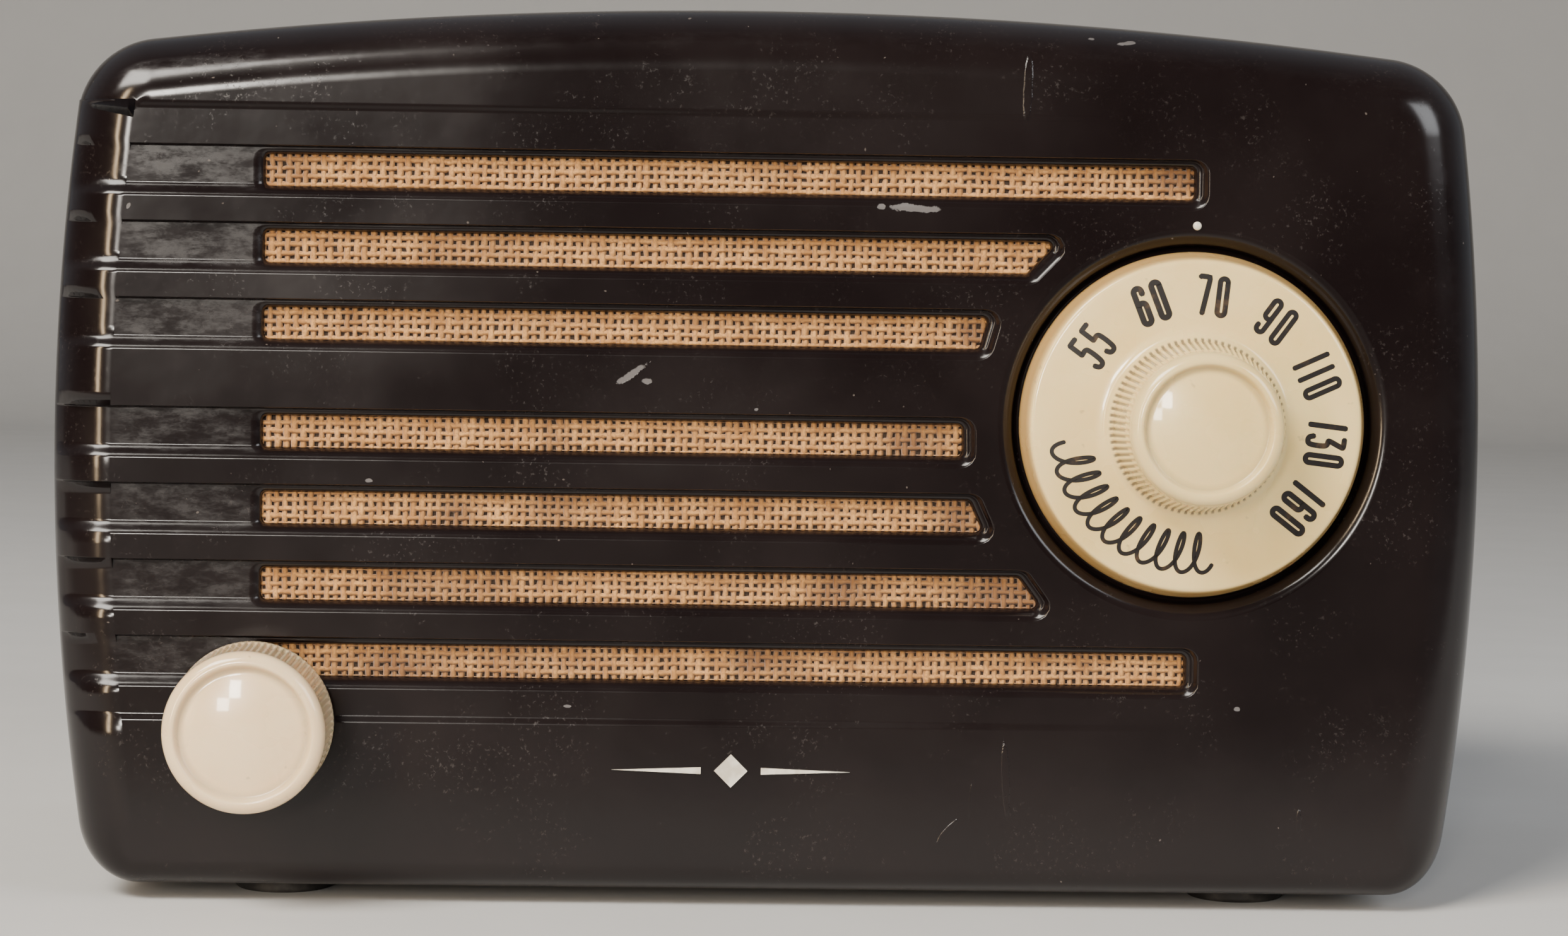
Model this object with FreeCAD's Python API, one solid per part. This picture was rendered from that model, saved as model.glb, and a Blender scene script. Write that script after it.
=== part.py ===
import FreeCAD, Part
import math
import os

# Table radio in a drawn-steel cabinet: one long wrap with a slotted front, a moulded
# dial knob on the right, a volume knob low on the left and a small valve chassis inside.
# Millimetres. +X runs to the right, the front faces -Y, +Z is up. The origin is on the
# table, under the middle of the whole radio.

V = FreeCAD.Vector

# cabinet wrap
cab_width = 216.0
cab_height = 132.5
cab_depth = 108.0
sheet = 1.0
arch_radius = 770.0
flank_radius = 400.0
widest_height = 66.0
upper_corner = 13.0
lower_corner = 10.0
front_round = 7.5
front_round_low = 4.0
rim_depth = 5.0
rim_width = 7.0
knob_reach = 15.5

# feet
foot_height = 2.5
foot_radius = 7.5
foot_side_inset = 34.6
foot_end_inset = 17.0
foot_stem = 2.2

# slotted front
slot_height = 4.6
slot_pitch = 11.4
slot_rows_upper = 3
slot_rows_lower = 4
slot_group_gap = 16.2
top_slot_drop = 25.35
slot_left_inset = 32.0
long_slot_right_inset = 45.2
flute_depth = 1.5
flute_lip = 1.7
flute_wrap = 5.0

# dial and tuning drive
dial_inset = 44.9
dial_lift = 2.9
dial_radius = 26.0
dial_rim_thick = 5.4
dial_proud = 2.6
dial_taper = 1.1
dial_edge_round = 0.4
dial_cone_rise = 0.55
dial_gap = 0.9
recess_depth = 3.9
recess_round = 1.7
flute_end_gap = 5.95
slot_end_gap = 7.7
shaft_radius = 3.175
shaft_hole_gap = 1.8
running_gap = 0.05
tuning_shut_angle = 54.5
tuning_open_angle = -125.5

# knobs
dial_knob_base, dial_knob_top = 13.0, 11.4
volume_knob_base, volume_knob_top = 12.2, 11.9
knob_face_gap = 1.2
knob_rim_round = 1.9
knob_valley_ratio = 0.78
knob_valley_depth = 0.75
knob_rib_depth = 0.35
knob_rib_count = 80
knob_wall = 2.6
knob_hub_radius = 5.6
knob_bore_depth = 9.5

# volume control and switch
volume_inset = 31.25
volume_height = 24.9
control_radius = 12.0
control_depth = 10.0
control_wall = 0.8
bush_radius = 4.76
bush_length = 7.0
bush_gap = 0.15
nut_flat_radius = 7.0
nut_thick = 2.4
switch_radius = 11.0
switch_depth = 9.0
wiper_radius = 8.5
wiper_thick = 1.2

# index pip and front ornament
pip_radius = 0.65
pip_above_dial = 29.85
pip_proud = 0.4
ornament_width = 35.7
ornament_height = 5.0
ornament_bar = 1.0
ornament_thick = 0.25
ornament_x = -5.4
ornament_height_up = 18.3

# cloth and baffle
cloth_thick = 0.6
baffle_thick = 2.0
baffle_margin = 7.0
baffle_dial_gap = 1.2

# speaker
speaker_radius = 50.5
gasket_land = 4.5
flange_thick = 0.8
gasket_thick = 1.5
frame_land = 8.3
cone_depth = 18.0
cone_wall = 0.4
cone_throw = 0.8
coil_radius = 10.0
coil_wall = 0.45
coil_length = 10.0
gap_each_side = 0.45
spider_radius = 24.0
shelf_radius = 27.0
neck_radius = 20.0
shelf_depth = 19.5
neck_depth = 8.0
magnet_radius = 17.0
magnet_depth = 19.0
magnet_plate = 3.0
speaker_screw_radius = 1.5

# chassis
chassis_side_gap = 15.0
chassis_height = 38.0
chassis_sheet = 1.0
chassis_front_gap = 10.0
chassis_rear_gap = 12.0
chassis_tab = 9.0
notch_side_gap = 1.2
notch_back = 46.0
screw_radius = 1.6
screw_head_radius = 3.2
screw_head_thick = 1.4

# tuning capacitor
gang_length = 34.0
gang_half_width = 20.0
gang_plate = 1.2
gang_lift = 5.0
gang_above_shaft = 16.0
rotor_radius = 14.0
plate_thick = 0.5
plate_pitch = 1.8
plates_per_section = 6
rotor_hub = 3.9
stator_hub = 5.0
stator_reach = 17.4
stator_rod_inset = 1.7
stator_rod = 0.9
insulator_radius = 2.4

# valves, cans and output transformer on the deck
deck_edge = 16.0
deck_row_back = 22.0
socket_radius = 14.9
socket_hole = 13.0
socket_proud = 2.5
socket_below = 8.0
valve_base_radius = 14.9
valve_base_height = 13.0
glass_radius = 13.9
glass_height = 52.0
glass_wall = 1.0
electrode_radius = 7.5
electrode_height = 28.0
mica_radius = 12.0
can_side = 30.0
can_height = 62.0
transformer_width = 30.0
transformer_depth = 20.0
transformer_height = 26.0
transformer_y_gap = 20.0

# below the deck
filter_radius = 11.5
filter_length = 70.0
strip_length = 38.0
strip_height = 9.0
strip_thick = 1.6
strip_span = 44.0
part_pitch = 6.4
paper_radius = 4.2
paper_length = 26.0
resistor_radius = 2.3
resistor_length = 12.0
lead_radius = 0.5
coil_former_radius = 6.0
coil_former_length = 26.0

# back cover, antenna and power inlet
cover_thick = 2.4
cover_gap = 0.7
vent_radius = 2.75
vent_pitch_x = 10.5
vent_pitch_z = 9.5
vent_columns = 15
vent_rows = 5
vent_top_drop = 24.0
loop_band = 9.0
loop_thick = 1.6
loop_inset = 15.0
loop_corner = 12.0
inlet_width = 30.0
inlet_height = 19.0
inlet_wall = 2.6
inlet_depth = 9.0
inlet_proud = 1.9
inlet_x_inset = 40.0
inlet_height_up = 20.0
pin_radius = 1.2
pin_spacing = 11.0

# worked-out planes and centres
front_y = (knob_reach - cab_depth) / 2
rear_y = front_y + cab_depth
floor_z = foot_height + sheet
top_z = foot_height + cab_height
side_x = cab_width / 2
deck_z = floor_z + chassis_height
dial_x = side_x - dial_inset
volume_x = -side_x + volume_inset
volume_z = foot_height + volume_height
slot_left = -side_x + slot_left_inset
long_slot_right = side_x - long_slot_right_inset
top_slot_z = top_z - top_slot_drop
low_group_z = top_slot_z - (slot_rows_upper - 1) * slot_pitch - slot_group_gap
bottom_slot_z = low_group_z - (slot_rows_lower - 1) * slot_pitch
dial_z = low_group_z + dial_lift
recess_radius = dial_radius + dial_gap
knob_front_y = front_y - knob_reach
chassis_front_y = front_y + chassis_front_gap
chassis_rear_y = rear_y - chassis_rear_gap
chassis_half = side_x - chassis_side_gap
cover_y = rear_y - rim_depth
cloth_y = front_y + flute_depth + sheet
baffle_y = cloth_y + cloth_thick
gasket_y = baffle_y + baffle_thick
flange_y = gasket_y + gasket_thick
speaker_x = slot_left + speaker_radius + 4.0
speaker_opening = speaker_radius - gasket_land
cone_edge_radius = speaker_radius - frame_land
speaker_z = (top_slot_z + bottom_slot_z) / 2


def slot_centres():
    """Heights of the slots, from the top one down."""
    upper = [top_slot_z - i * slot_pitch for i in range(slot_rows_upper)]
    lower = [low_group_z - i * slot_pitch for i in range(slot_rows_lower)]
    return upper + lower


def block(x0, x1, y0, y1, z0, z1):
    """Plain box between two corners."""
    return Part.makeBox(x1 - x0, y1 - y0, z1 - z0, V(x0, y0, z0))


def rod_y(radius, y0, y1, x, z):
    return Part.makeCylinder(radius, y1 - y0, V(x, y0, z), V(0, 1, 0))


def rod_z(radius, z0, z1, x, y):
    return Part.makeCylinder(radius, z1 - z0, V(x, y, z0), V(0, 0, 1))


def rod_x(radius, x0, x1, y, z):
    return Part.makeCylinder(radius, x1 - x0, V(x0, y, z), V(1, 0, 0))


def tube_y(inner, outer, y0, y1, x, z):
    return rod_y(outer, y0, y1, x, z).cut(rod_y(inner, y0 - 1, y1 + 1, x, z))


def turned(points, x, z):
    """Solid of revolution about a front-to-back axis, from (radius, y) points."""
    path = [V(r, y, 0) for r, y in points]
    face = Part.Face(Part.makePolygon(path + path[:1]))
    return face.revolve(V(0, 0, 0), V(0, 1, 0), 360).translated(V(x, 0, z))


def turned_upright(points, x, y):
    """Solid of revolution about an upright axis, from (radius, z) points."""
    path = [V(r, 0, z) for r, z in points]
    face = Part.Face(Part.makePolygon(path + path[:1]))
    return face.revolve(V(0, 0, 0), V(0, 0, 1), 360).translated(V(x, y, 0))


def joined(shapes):
    """Fuses a list of touching shapes into one solid."""
    return shapes[0].multiFuse(shapes[1:]).removeSplitter()


def group(shapes):
    """Several separate solids that make one node."""
    return Part.makeCompound(shapes)


def save(name, shape):
    shape.exportStep("parts/" + name + ".step")


# ---------------------------------------------------------------- cabinet

def unit(x, z):
    length = math.hypot(x, z)
    return x / length, z / length


def corner_centre(flank_x, reach_flank, reach_arch, arch_z, flank_z):
    """Centre of the upper corner arc, tangent inside the flank and the arch circles."""
    span = math.hypot(flank_x, flank_z - arch_z)
    ex, ez = unit(-flank_x, arch_z - flank_z)
    along = (reach_flank ** 2 - reach_arch ** 2 + span ** 2) / (2 * span)
    across = math.sqrt(reach_flank ** 2 - along ** 2)
    return flank_x + ex * along - ez * across, flank_z + ez * along + ex * across


def arc_points(centre, radius, start_dir, end_dir):
    """Start, middle and end of an arc given by two directions from its centre."""
    mid = unit(start_dir[0] + end_dir[0], start_dir[1] + end_dir[1])
    return [(centre[0] + d[0] * radius, centre[1] + d[1] * radius) for d in (start_dir, mid, end_dir)]


def outline(inset, y):
    """Closed front outline of the cabinet, set in by a constant distance."""
    flank = flank_radius - inset
    arch = arch_radius - inset
    flank_x = side_x - flank_radius
    flank_z = foot_height + widest_height
    arch_z = top_z - arch_radius
    upper = upper_corner - inset
    lower = lower_corner - inset
    base_z = foot_height + inset
    top = corner_centre(flank_x, flank - upper, arch - upper, arch_z, flank_z)
    low_z = base_z + lower
    low = (flank_x + math.sqrt((flank - lower) ** 2 - (low_z - flank_z) ** 2), low_z)
    upper_arc = arc_points(top, upper, unit(top[0], top[1] - arch_z), unit(top[0] - flank_x, top[1] - flank_z))
    lower_arc = arc_points(low, lower, unit(low[0] - flank_x, low[1] - flank_z), (0.0, -1.0))
    right = [upper_arc, [upper_arc[2], (flank_x + flank, flank_z), lower_arc[0]], lower_arc]
    edges = [arc_edge([mirror(upper_arc[0]), (0.0, top_z - inset), upper_arc[0]], y)]
    edges += [arc_edge(arc, y) for arc in right]
    edges.append(Part.LineSegment(at(lower_arc[2], y), at(mirror(lower_arc[2]), y)).toShape())
    edges += [arc_edge([mirror(p) for p in reversed(arc)], y) for arc in reversed(right)]
    return Part.Wire(edges)


def mirror(point):
    return -point[0], point[1]


def at(point, y):
    return V(point[0], y, point[1])


def arc_edge(points, y):
    return Part.Arc(at(points[0], y), at(points[1], y), at(points[2], y)).toShape()


def cabinet_block(inset, end_y):
    """The cabinet's outer form as a solid, set in on every side but the back."""
    y = front_y + inset
    solid = Part.Face(outline(inset, y)).extrude(V(0, end_y - y, 0))
    high = front_round - inset
    low = front_round_low - inset
    radii = []
    for number, edge in enumerate(solid.Edges, 1):
        if edge.BoundBox.YMax < y + 0.001:
            radii.append((number,) + edge_radii(edge, high, low))
    holder = FreeCAD.newDocument("cabinet")
    base = holder.addObject("Part::Feature", "base")
    base.Shape = solid
    rounded = holder.addObject("Part::Fillet", "rounded")
    rounded.Base = base
    rounded.Edges = radii
    holder.recompute()
    return rounded.Shape.Solids[0]


def edge_radii(edge, high, low):
    """Start and end radius for one front edge: small along the bottom, large above."""
    box = edge.BoundBox
    if box.ZMax > foot_height + lower_corner + sheet:
        return high, high
    if box.ZLength < 0.001:
        return low, low
    rising = edge.valueAt(edge.FirstParameter).z < edge.valueAt(edge.LastParameter).z
    return (low, high) if rising else (high, low)


def flute_bands(extra):
    """Shallow grooves that carry the slots and wrap round the left corner.

    extra is 0 for the outside of the sheet and the sheet thickness for its inside.
    """
    half = slot_height / 2 + flute_lip + extra
    floor = cabinet_block(flute_depth + extra, rear_y)
    dial_end = rod_y(recess_radius + flute_end_gap - extra, front_y - 1, rear_y, dial_x, dial_z)
    centres = slot_centres()
    bands = []
    for z in centres:
        right = long_slot_right + flute_lip + extra
        band = block(-side_x - 1, right, front_y - 1, front_y + flute_wrap + extra, z - half, z + half)
        if z not in (centres[0], centres[-1]):
            band = band.cut(dial_end)
            band = left_piece(band)
        bands.append(band.cut(floor))
    return bands


def left_piece(shape):
    """Of the solids left by a cut, the one that starts furthest left."""
    return min(shape.Solids, key=lambda solid: solid.BoundBox.XMin)


def slot_cuts():
    """Through openings behind which the cloth shows."""
    dial_end = rod_y(recess_radius + slot_end_gap, front_y - 1, cloth_y + 1, dial_x, dial_z)
    centres = slot_centres()
    cuts = []
    for z in centres:
        low = z - slot_height / 2
        cut = block(slot_left, long_slot_right, front_y - 1, cloth_y + 1, low, low + slot_height)
        if z not in (centres[0], centres[-1]):
            cut = left_piece(cut.cut(dial_end))
        cuts.append(cut)
    return cuts


def rear_rim():
    """Inward flange that the back cover is screwed to."""
    face = Part.Face(outline(sheet, cover_y - sheet))
    ring = face.extrude(V(0, sheet, 0))
    hole = Part.Face(outline(sheet + rim_width, cover_y - sheet - 1)).extrude(V(0, sheet + 2, 0))
    return ring.cut(hole)


def cabinet_shell():
    outside = cabinet_block(0, rear_y)
    outside = outside.cut(flute_bands(0))
    recess = rod_y(recess_radius, front_y - 1, front_y + recess_depth, dial_x, dial_z)
    outside = outside.cut(recess)
    inside = cabinet_block(sheet, rear_y + 1)
    inside = inside.cut(flute_bands(sheet))
    inside = inside.cut(rod_y(recess_radius + sheet, front_y, front_y + recess_depth + sheet, dial_x, dial_z))
    shell = outside.cut(inside)
    rim = [e for e in shell.Edges if is_recess_rim(e)]
    shell = shell.makeFillet(min(recess_round, sheet * 0.9), rim)
    shell = shell.cut(slot_cuts())
    shell = shell.cut(shell_holes())
    return shell.fuse(rear_rim()).cut(rim_holes()).Solids[0]


def is_recess_rim(edge):
    curve = edge.Curve
    on_face = abs(edge.BoundBox.YMin - front_y) < 0.01 and edge.BoundBox.YLength < 0.01
    return on_face and isinstance(curve, Part.Circle) and abs(curve.Radius - recess_radius) < 0.01


def shell_holes():
    """Holes for the two shafts, the index pip, the feet and the chassis screws."""
    deep = front_y + recess_depth + 2 * sheet
    holes = [rod_y(shaft_radius + shaft_hole_gap, front_y - 1, deep, dial_x, dial_z)]
    holes.append(rod_y(shaft_radius + shaft_hole_gap, front_y - 1, deep, volume_x, volume_z))
    holes.append(rod_y(pip_radius, front_y - 1, front_y + sheet + 1, dial_x, dial_z + pip_above_dial))
    for x, y in foot_places():
        holes.append(rod_z(foot_stem, foot_height - 1, floor_z + 1, x, y))
    for x, y in chassis_screw_places():
        holes.append(rod_z(screw_radius, foot_height - 1, floor_z + 1, x, y))
    return holes


def foot_places():
    x = side_x - foot_side_inset
    return [(sx * x, y) for sx in (-1, 1) for y in (front_y + foot_end_inset, rear_y - foot_end_inset)]


def rubber_feet():
    """Moulded rubber bumpers, each with a stem and a retaining bead inside the sheet."""
    feet = []
    for x, y in foot_places():
        pad = rod_z(foot_radius, 0, foot_height, x, y)
        pad = pad.makeFillet(foot_height * 0.3, [e for e in pad.Edges if e.BoundBox.ZMax < 0.01])
        stem = rod_z(foot_stem, foot_height, floor_z, x, y)
        bead = Part.makeCone(foot_stem * 1.5, foot_stem * 0.7, foot_stem, V(x, y, floor_z))
        feet.append(joined([pad, stem, bead]))
    return group(feet)


def index_pip():
    """Small ivory peg above the dial that its numbers are read against."""
    return rod_y(pip_radius, front_y - pip_proud, front_y + sheet, dial_x, dial_z + pip_above_dial)


def front_ornament():
    """Plain raised trim: a lozenge between two tapering bars."""
    z = foot_height + ornament_height_up
    half = ornament_width / 2
    tall = ornament_height / 2
    inner = tall + 2.0
    lozenge = [(-tall, 0), (0, tall), (tall, 0), (0, -tall)]
    bar = [(inner, ornament_bar / 2), (half, 0), (inner, -ornament_bar / 2)]
    shapes = [lozenge, bar, [(-x, dz) for x, dz in bar]]
    return group([raised(points, z) for points in shapes])


def raised(points, z):
    path = [V(ornament_x + x, front_y, z + dz) for x, dz in points]
    return Part.Face(Part.makePolygon(path + path[:1])).extrude(V(0, -ornament_thick, 0))


# ---------------------------------------------------------------- cloth and baffle

def baffle_outline(y, thick, margin):
    x0 = slot_left - margin
    x1 = long_slot_right + margin
    z0 = bottom_slot_z - slot_height / 2 - margin
    z1 = top_slot_z + slot_height / 2 + margin
    board = block(x0, x1, y, y + thick, z0, z1)
    around_dial = recess_radius + sheet + baffle_dial_gap
    board = board.cut(rod_y(around_dial, y - 1, y + thick + 1, dial_x, dial_z))
    around_bush = bush_radius + 2.0
    return left_piece(board.cut(rod_y(around_bush, y - 1, y + thick + 1, volume_x, volume_z)))


def grille_cloth():
    """Woven cloth stretched over the front of the baffle board."""
    return baffle_outline(cloth_y, cloth_thick, baffle_margin - 1.0)


def grille_baffle():
    """Fibre board with the speaker opening, screwed through by the speaker."""
    board = baffle_outline(baffle_y, baffle_thick, baffle_margin)
    opening = rod_y(speaker_opening, baffle_y - 1, gasket_y + 1, speaker_x, speaker_z)
    opening = opening.common(block(-side_x, side_x, baffle_y - 1, gasket_y + 1,
                                   bottom_slot_z - slot_height / 2, top_slot_z + slot_height / 2))
    board = board.cut(opening)
    return board.cut([rod_y(speaker_screw_radius, baffle_y - 1, gasket_y + 1, x, z)
                      for x, z in speaker_screw_places()])


# ---------------------------------------------------------------- knobs

def star(radius, y, x, z):
    """Closed zigzag of knob ribs, tips at the given radius."""
    points = []
    for i in range(2 * knob_rib_count):
        r = radius if i % 2 else radius - knob_rib_depth
        angle = math.pi * i / knob_rib_count
        points.append(V(x + r * math.cos(angle), y, z + r * math.sin(angle)))
    return Part.makePolygon(points + points[:1])


def knob_face(base, top, y_base, x, z):
    """Ribbed, slightly tapered skirt with a rolled rim, a valley and a domed face."""
    rim_y = knob_front_y + 0.3
    shoulder_y = rim_y + knob_rim_round
    inner = knob_rib_depth + 0.05
    valley = knob_valley_ratio * top
    rim_in = top - knob_rim_round
    bulge = knob_rim_round * (1 - math.sqrt(0.5))
    profile = [
        Part.LineSegment(V(0, y_base, 0), V(base - inner, y_base, 0)),
        Part.LineSegment(V(base - inner, y_base, 0), V(top - inner, shoulder_y, 0)),
        Part.LineSegment(V(top - inner, shoulder_y, 0), V(top, shoulder_y, 0)),
        Part.Arc(V(top, shoulder_y, 0), V(top - bulge, rim_y + bulge, 0), V(rim_in, rim_y, 0)),
        Part.LineSegment(V(rim_in, rim_y, 0), V(valley, rim_y + knob_valley_depth, 0)),
        Part.Arc(V(valley, rim_y + knob_valley_depth, 0), dome_middle(valley, rim_y), V(0, knob_front_y, 0)),
        Part.LineSegment(V(0, knob_front_y, 0), V(0, y_base, 0)),
    ]
    face = Part.Face(Part.Wire([line.toShape() for line in profile]))
    core = face.revolve(V(0, 0, 0), V(0, 1, 0), 360).translated(V(x, 0, z))
    ends = [star(base, y_base, x, z), star(top, shoulder_y, x, z)]
    return core.fuse(Part.makeLoft(ends, True, True))


def dome_middle(valley, rim_y):
    """Middle point of the arc from the valley to the dome's crown, flat at the crown."""
    drop = rim_y + knob_valley_depth - knob_front_y
    radius = (valley ** 2 + drop ** 2) / (2 * drop)
    half = math.asin(valley / radius) / 2
    return V(radius * math.sin(half), knob_front_y + radius * (1 - math.cos(half)), 0)


def knob_hollow(top, y_open, y_base, x, z):
    """Space inside a moulded knob, around the hub that grips the shaft."""
    deepest = knob_front_y + 2 * knob_wall
    space = rod_y(top - knob_wall, deepest, y_base + 1, x, z)
    space = space.cut(rod_y(knob_hub_radius, deepest - 1, y_base + 2, x, z))
    bore = rod_y(shaft_radius, y_open - knob_bore_depth, y_open + 1, x, z)
    return space.fuse(bore)


def dial_knob():
    """Dial plate and knob moulded as one, pushed on the tuning shaft."""
    edge_y = front_y - dial_proud
    back_y = edge_y + dial_rim_thick
    rise_y = edge_y - dial_cone_rise
    ease = dial_edge_round
    face_radius = dial_radius - dial_taper
    plate = turned([(0, back_y), (dial_radius - ease, back_y), (dial_radius, back_y - ease),
                    (dial_radius, back_y - 2 * ease), (face_radius, edge_y + ease),
                    (face_radius - ease, edge_y), (dial_knob_base, rise_y), (0, rise_y)], dial_x, dial_z)
    solid = joined([plate, knob_face(dial_knob_base, dial_knob_top, rise_y + 0.5, dial_x, dial_z)])
    bore_y = knob_front_y + knob_wall + knob_bore_depth
    return solid.cut(knob_hollow(dial_knob_top, bore_y, back_y, dial_x, dial_z)).cut(
        rod_y(shaft_radius, bore_y - 1, back_y + 1, dial_x, dial_z))


def volume_knob():
    base_y = front_y - knob_face_gap
    solid = knob_face(volume_knob_base, volume_knob_top, base_y, volume_x, volume_z)
    bore_y = knob_front_y + knob_wall + knob_bore_depth
    return solid.cut(knob_hollow(volume_knob_top, bore_y, base_y, volume_x, volume_z)).cut(
        rod_y(shaft_radius, bore_y - 1, base_y + 1, volume_x, volume_z))


# ---------------------------------------------------------------- volume control

control_y = chassis_front_y + chassis_sheet
control_back_y = control_y + control_depth
switch_back_y = control_back_y + switch_depth
knob_bore_end = knob_front_y + knob_wall


def volume_case():
    """Metal can of the volume control with its threaded bush."""
    can = rod_y(control_radius, control_y, control_back_y, volume_x, volume_z)
    room = rod_y(control_radius - control_wall, control_y + 2 * control_wall,
                 control_back_y - control_wall, volume_x, volume_z)
    bush = rod_y(bush_radius, control_y - bush_length, control_y, volume_x, volume_z)
    bore = rod_y(shaft_radius + running_gap, control_y - bush_length - 1,
                 control_y + 3 * control_wall, volume_x, volume_z)
    return joined([can, bush]).cut(room).cut(bore)


def volume_shaft():
    end_y = control_y + 2 * control_wall + 0.6
    return rod_y(shaft_radius, knob_bore_end, end_y, volume_x, volume_z)


def volume_wiper():
    """Insulating disc on the shaft's end with the spring contact it sweeps."""
    y = control_y + 2 * control_wall + 0.6
    disc = rod_y(wiper_radius, y, y + wiper_thick, volume_x, volume_z)
    arm = block(volume_x - 1.5, volume_x + 1.5, y + wiper_thick, y + wiper_thick + 0.8,
                volume_z, volume_z + wiper_radius)
    return joined([disc, arm])


def power_switch():
    """Snap switch can on the back of the volume control."""
    can = rod_y(switch_radius, control_back_y, switch_back_y, volume_x, volume_z)
    lugs = [block(volume_x + s * 4 - 1, volume_x + s * 4 + 1, switch_back_y, switch_back_y + 4,
                  volume_z - 0.4, volume_z + 0.4) for s in (-1, 1)]
    return joined([can] + lugs)


def volume_terminals():
    """Three soldering lugs on a phenolic strip below the can."""
    z = volume_z - control_radius
    strip = block(volume_x - 9, volume_x + 9, control_y + 1.5, control_y + 3.5, z - 3, z + 1.2)
    strip = strip.cut(rod_y(control_radius, control_y, control_back_y, volume_x, volume_z))
    lugs = [block(volume_x + dx - 1, volume_x + dx + 1, control_y + 3.5, control_y + 4.2, z - 6, z - 0.5)
            for dx in (-6, 0, 6)]
    return joined([strip] + lugs)


def volume_nut():
    """Hexagon nut that clamps the control to the chassis apron."""
    y = chassis_front_y
    points = []
    for i in range(7):
        angle = math.radians(60 * i)
        points.append(V(volume_x + nut_flat_radius * math.cos(angle), y,
                        volume_z + nut_flat_radius * math.sin(angle)))
    nut = Part.Face(Part.makePolygon(points)).extrude(V(0, -nut_thick, 0))
    return nut.cut(rod_y(bush_radius, y - nut_thick - 1, y + 1, volume_x, volume_z))


# ---------------------------------------------------------------- speaker

coil_inner = coil_radius - coil_wall
cone_neck_y = flange_y + cone_depth
shelf_y = flange_y + shelf_depth
neck_y = shelf_y + neck_depth
magnet_back_y = neck_y + magnet_depth


def speaker_screw_places():
    reach = speaker_radius - 2.4
    half = reach * math.sqrt(0.5)
    return [(speaker_x + sx * half, speaker_z + sz * half) for sx in (-1, 1) for sz in (-1, 1)]


def speaker_gasket():
    ring = tube_y(speaker_opening + 0.2, speaker_radius, gasket_y, flange_y, speaker_x, speaker_z)
    return ring.cut([rod_y(speaker_screw_radius, gasket_y - 1, flange_y + 1, x, z)
                     for x, z in speaker_screw_places()])


def speaker_basket():
    """Pressed frame: flange, tapering wall with four windows, spider shelf and neck."""
    t = flange_thick
    wall_r = cone_edge_radius + 2.4
    profile = [(speaker_radius, flange_y), (speaker_radius, flange_y + t), (wall_r + t, flange_y + t),
               (shelf_radius + t, shelf_y + t), (neck_radius + t, shelf_y + t), (neck_radius + t, neck_y),
               (coil_radius + gap_each_side + 1, neck_y), (coil_radius + gap_each_side + 1, neck_y - t),
               (neck_radius, neck_y - t), (neck_radius, shelf_y), (shelf_radius, shelf_y), (wall_r, flange_y)]
    basket = turned(profile, speaker_x, speaker_z)
    basket = basket.cut([rod_y(speaker_screw_radius, flange_y - 1, flange_y + t + 1, x, z)
                         for x, z in speaker_screw_places()])
    half = shelf_radius * 0.45
    y0 = flange_y + 3.5
    y1 = shelf_y - 2.5
    tall = block(speaker_x - half, speaker_x + half, y0, y1,
                 speaker_z - speaker_radius, speaker_z + speaker_radius)
    wide = block(speaker_x - speaker_radius, speaker_x + speaker_radius, y0, y1,
                 speaker_z - half, speaker_z + half)
    return basket.cut([tall, wide])


def speaker_magnet():
    """Magnet pot with its front plate and the pole piece inside the voice coil."""
    gap_outer = coil_radius + gap_each_side
    pole = coil_inner - gap_each_side
    front = neck_y + magnet_plate
    plate = tube_y(gap_outer, magnet_radius, neck_y, front, speaker_x, speaker_z)
    pot = tube_y(gap_outer + 2.5, magnet_radius, front, magnet_back_y - magnet_plate, speaker_x, speaker_z)
    back = rod_y(magnet_radius, magnet_back_y - magnet_plate, magnet_back_y, speaker_x, speaker_z)
    post = rod_y(pole, neck_y, magnet_back_y - magnet_plate, speaker_x, speaker_z)
    return joined([plate, pot, back, post])


def speaker_screws():
    """Round-head screws through flange, gasket and board, with nuts behind the flange."""
    screws = []
    back = flange_y + flange_thick
    for x, z in speaker_screw_places():
        stem = rod_y(speaker_screw_radius, baffle_y, back + 3, x, z)
        nut = rod_y(speaker_screw_radius * 1.7, back, back + 2, x, z)
        screws.append(joined([stem, nut]))
    return group(screws)


def speaker_cone():
    """Straight-sided paper cone from the surround down to the voice coil."""
    t = cone_wall
    return turned([(cone_edge_radius, flange_y - t), (cone_edge_radius, flange_y),
                   (coil_radius + t, cone_neck_y), (coil_radius, cone_neck_y),
                   (coil_radius, cone_neck_y - 2 * t)], speaker_x, speaker_z)


def voice_coil():
    start = cone_neck_y - 1.0
    end = neck_y + magnet_plate + 2.0
    return tube_y(coil_inner, coil_radius, start, end, speaker_x, speaker_z)


def dust_cap():
    """Paper dome that closes the front of the voice coil."""
    r = coil_inner
    y = cone_neck_y - 1.0
    t = cone_wall
    outer = [(0, y - 4.2), (r * 0.5, y - 3.4), (r * 0.85, y - 1.6), (coil_radius, y)]
    inner = [(coil_radius - 2 * t, y), (r * 0.8, y - 1.2), (r * 0.48, y - 3.0), (0, y - 3.7)]
    return turned(outer + inner, speaker_x, speaker_z)


def cone_surround():
    """Corrugated paper edge between the cone and the flange."""
    t = cone_wall
    r0 = cone_edge_radius
    r1 = speaker_opening
    mid = (r0 + r1) / 2
    return turned([(r0, flange_y - t), (mid, flange_y - 3 * t), (r1, flange_y - t), (r1, flange_y),
                   (r1 - 1.2, flange_y), (mid, flange_y - 2 * t), (r0, flange_y)], speaker_x, speaker_z)


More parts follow.
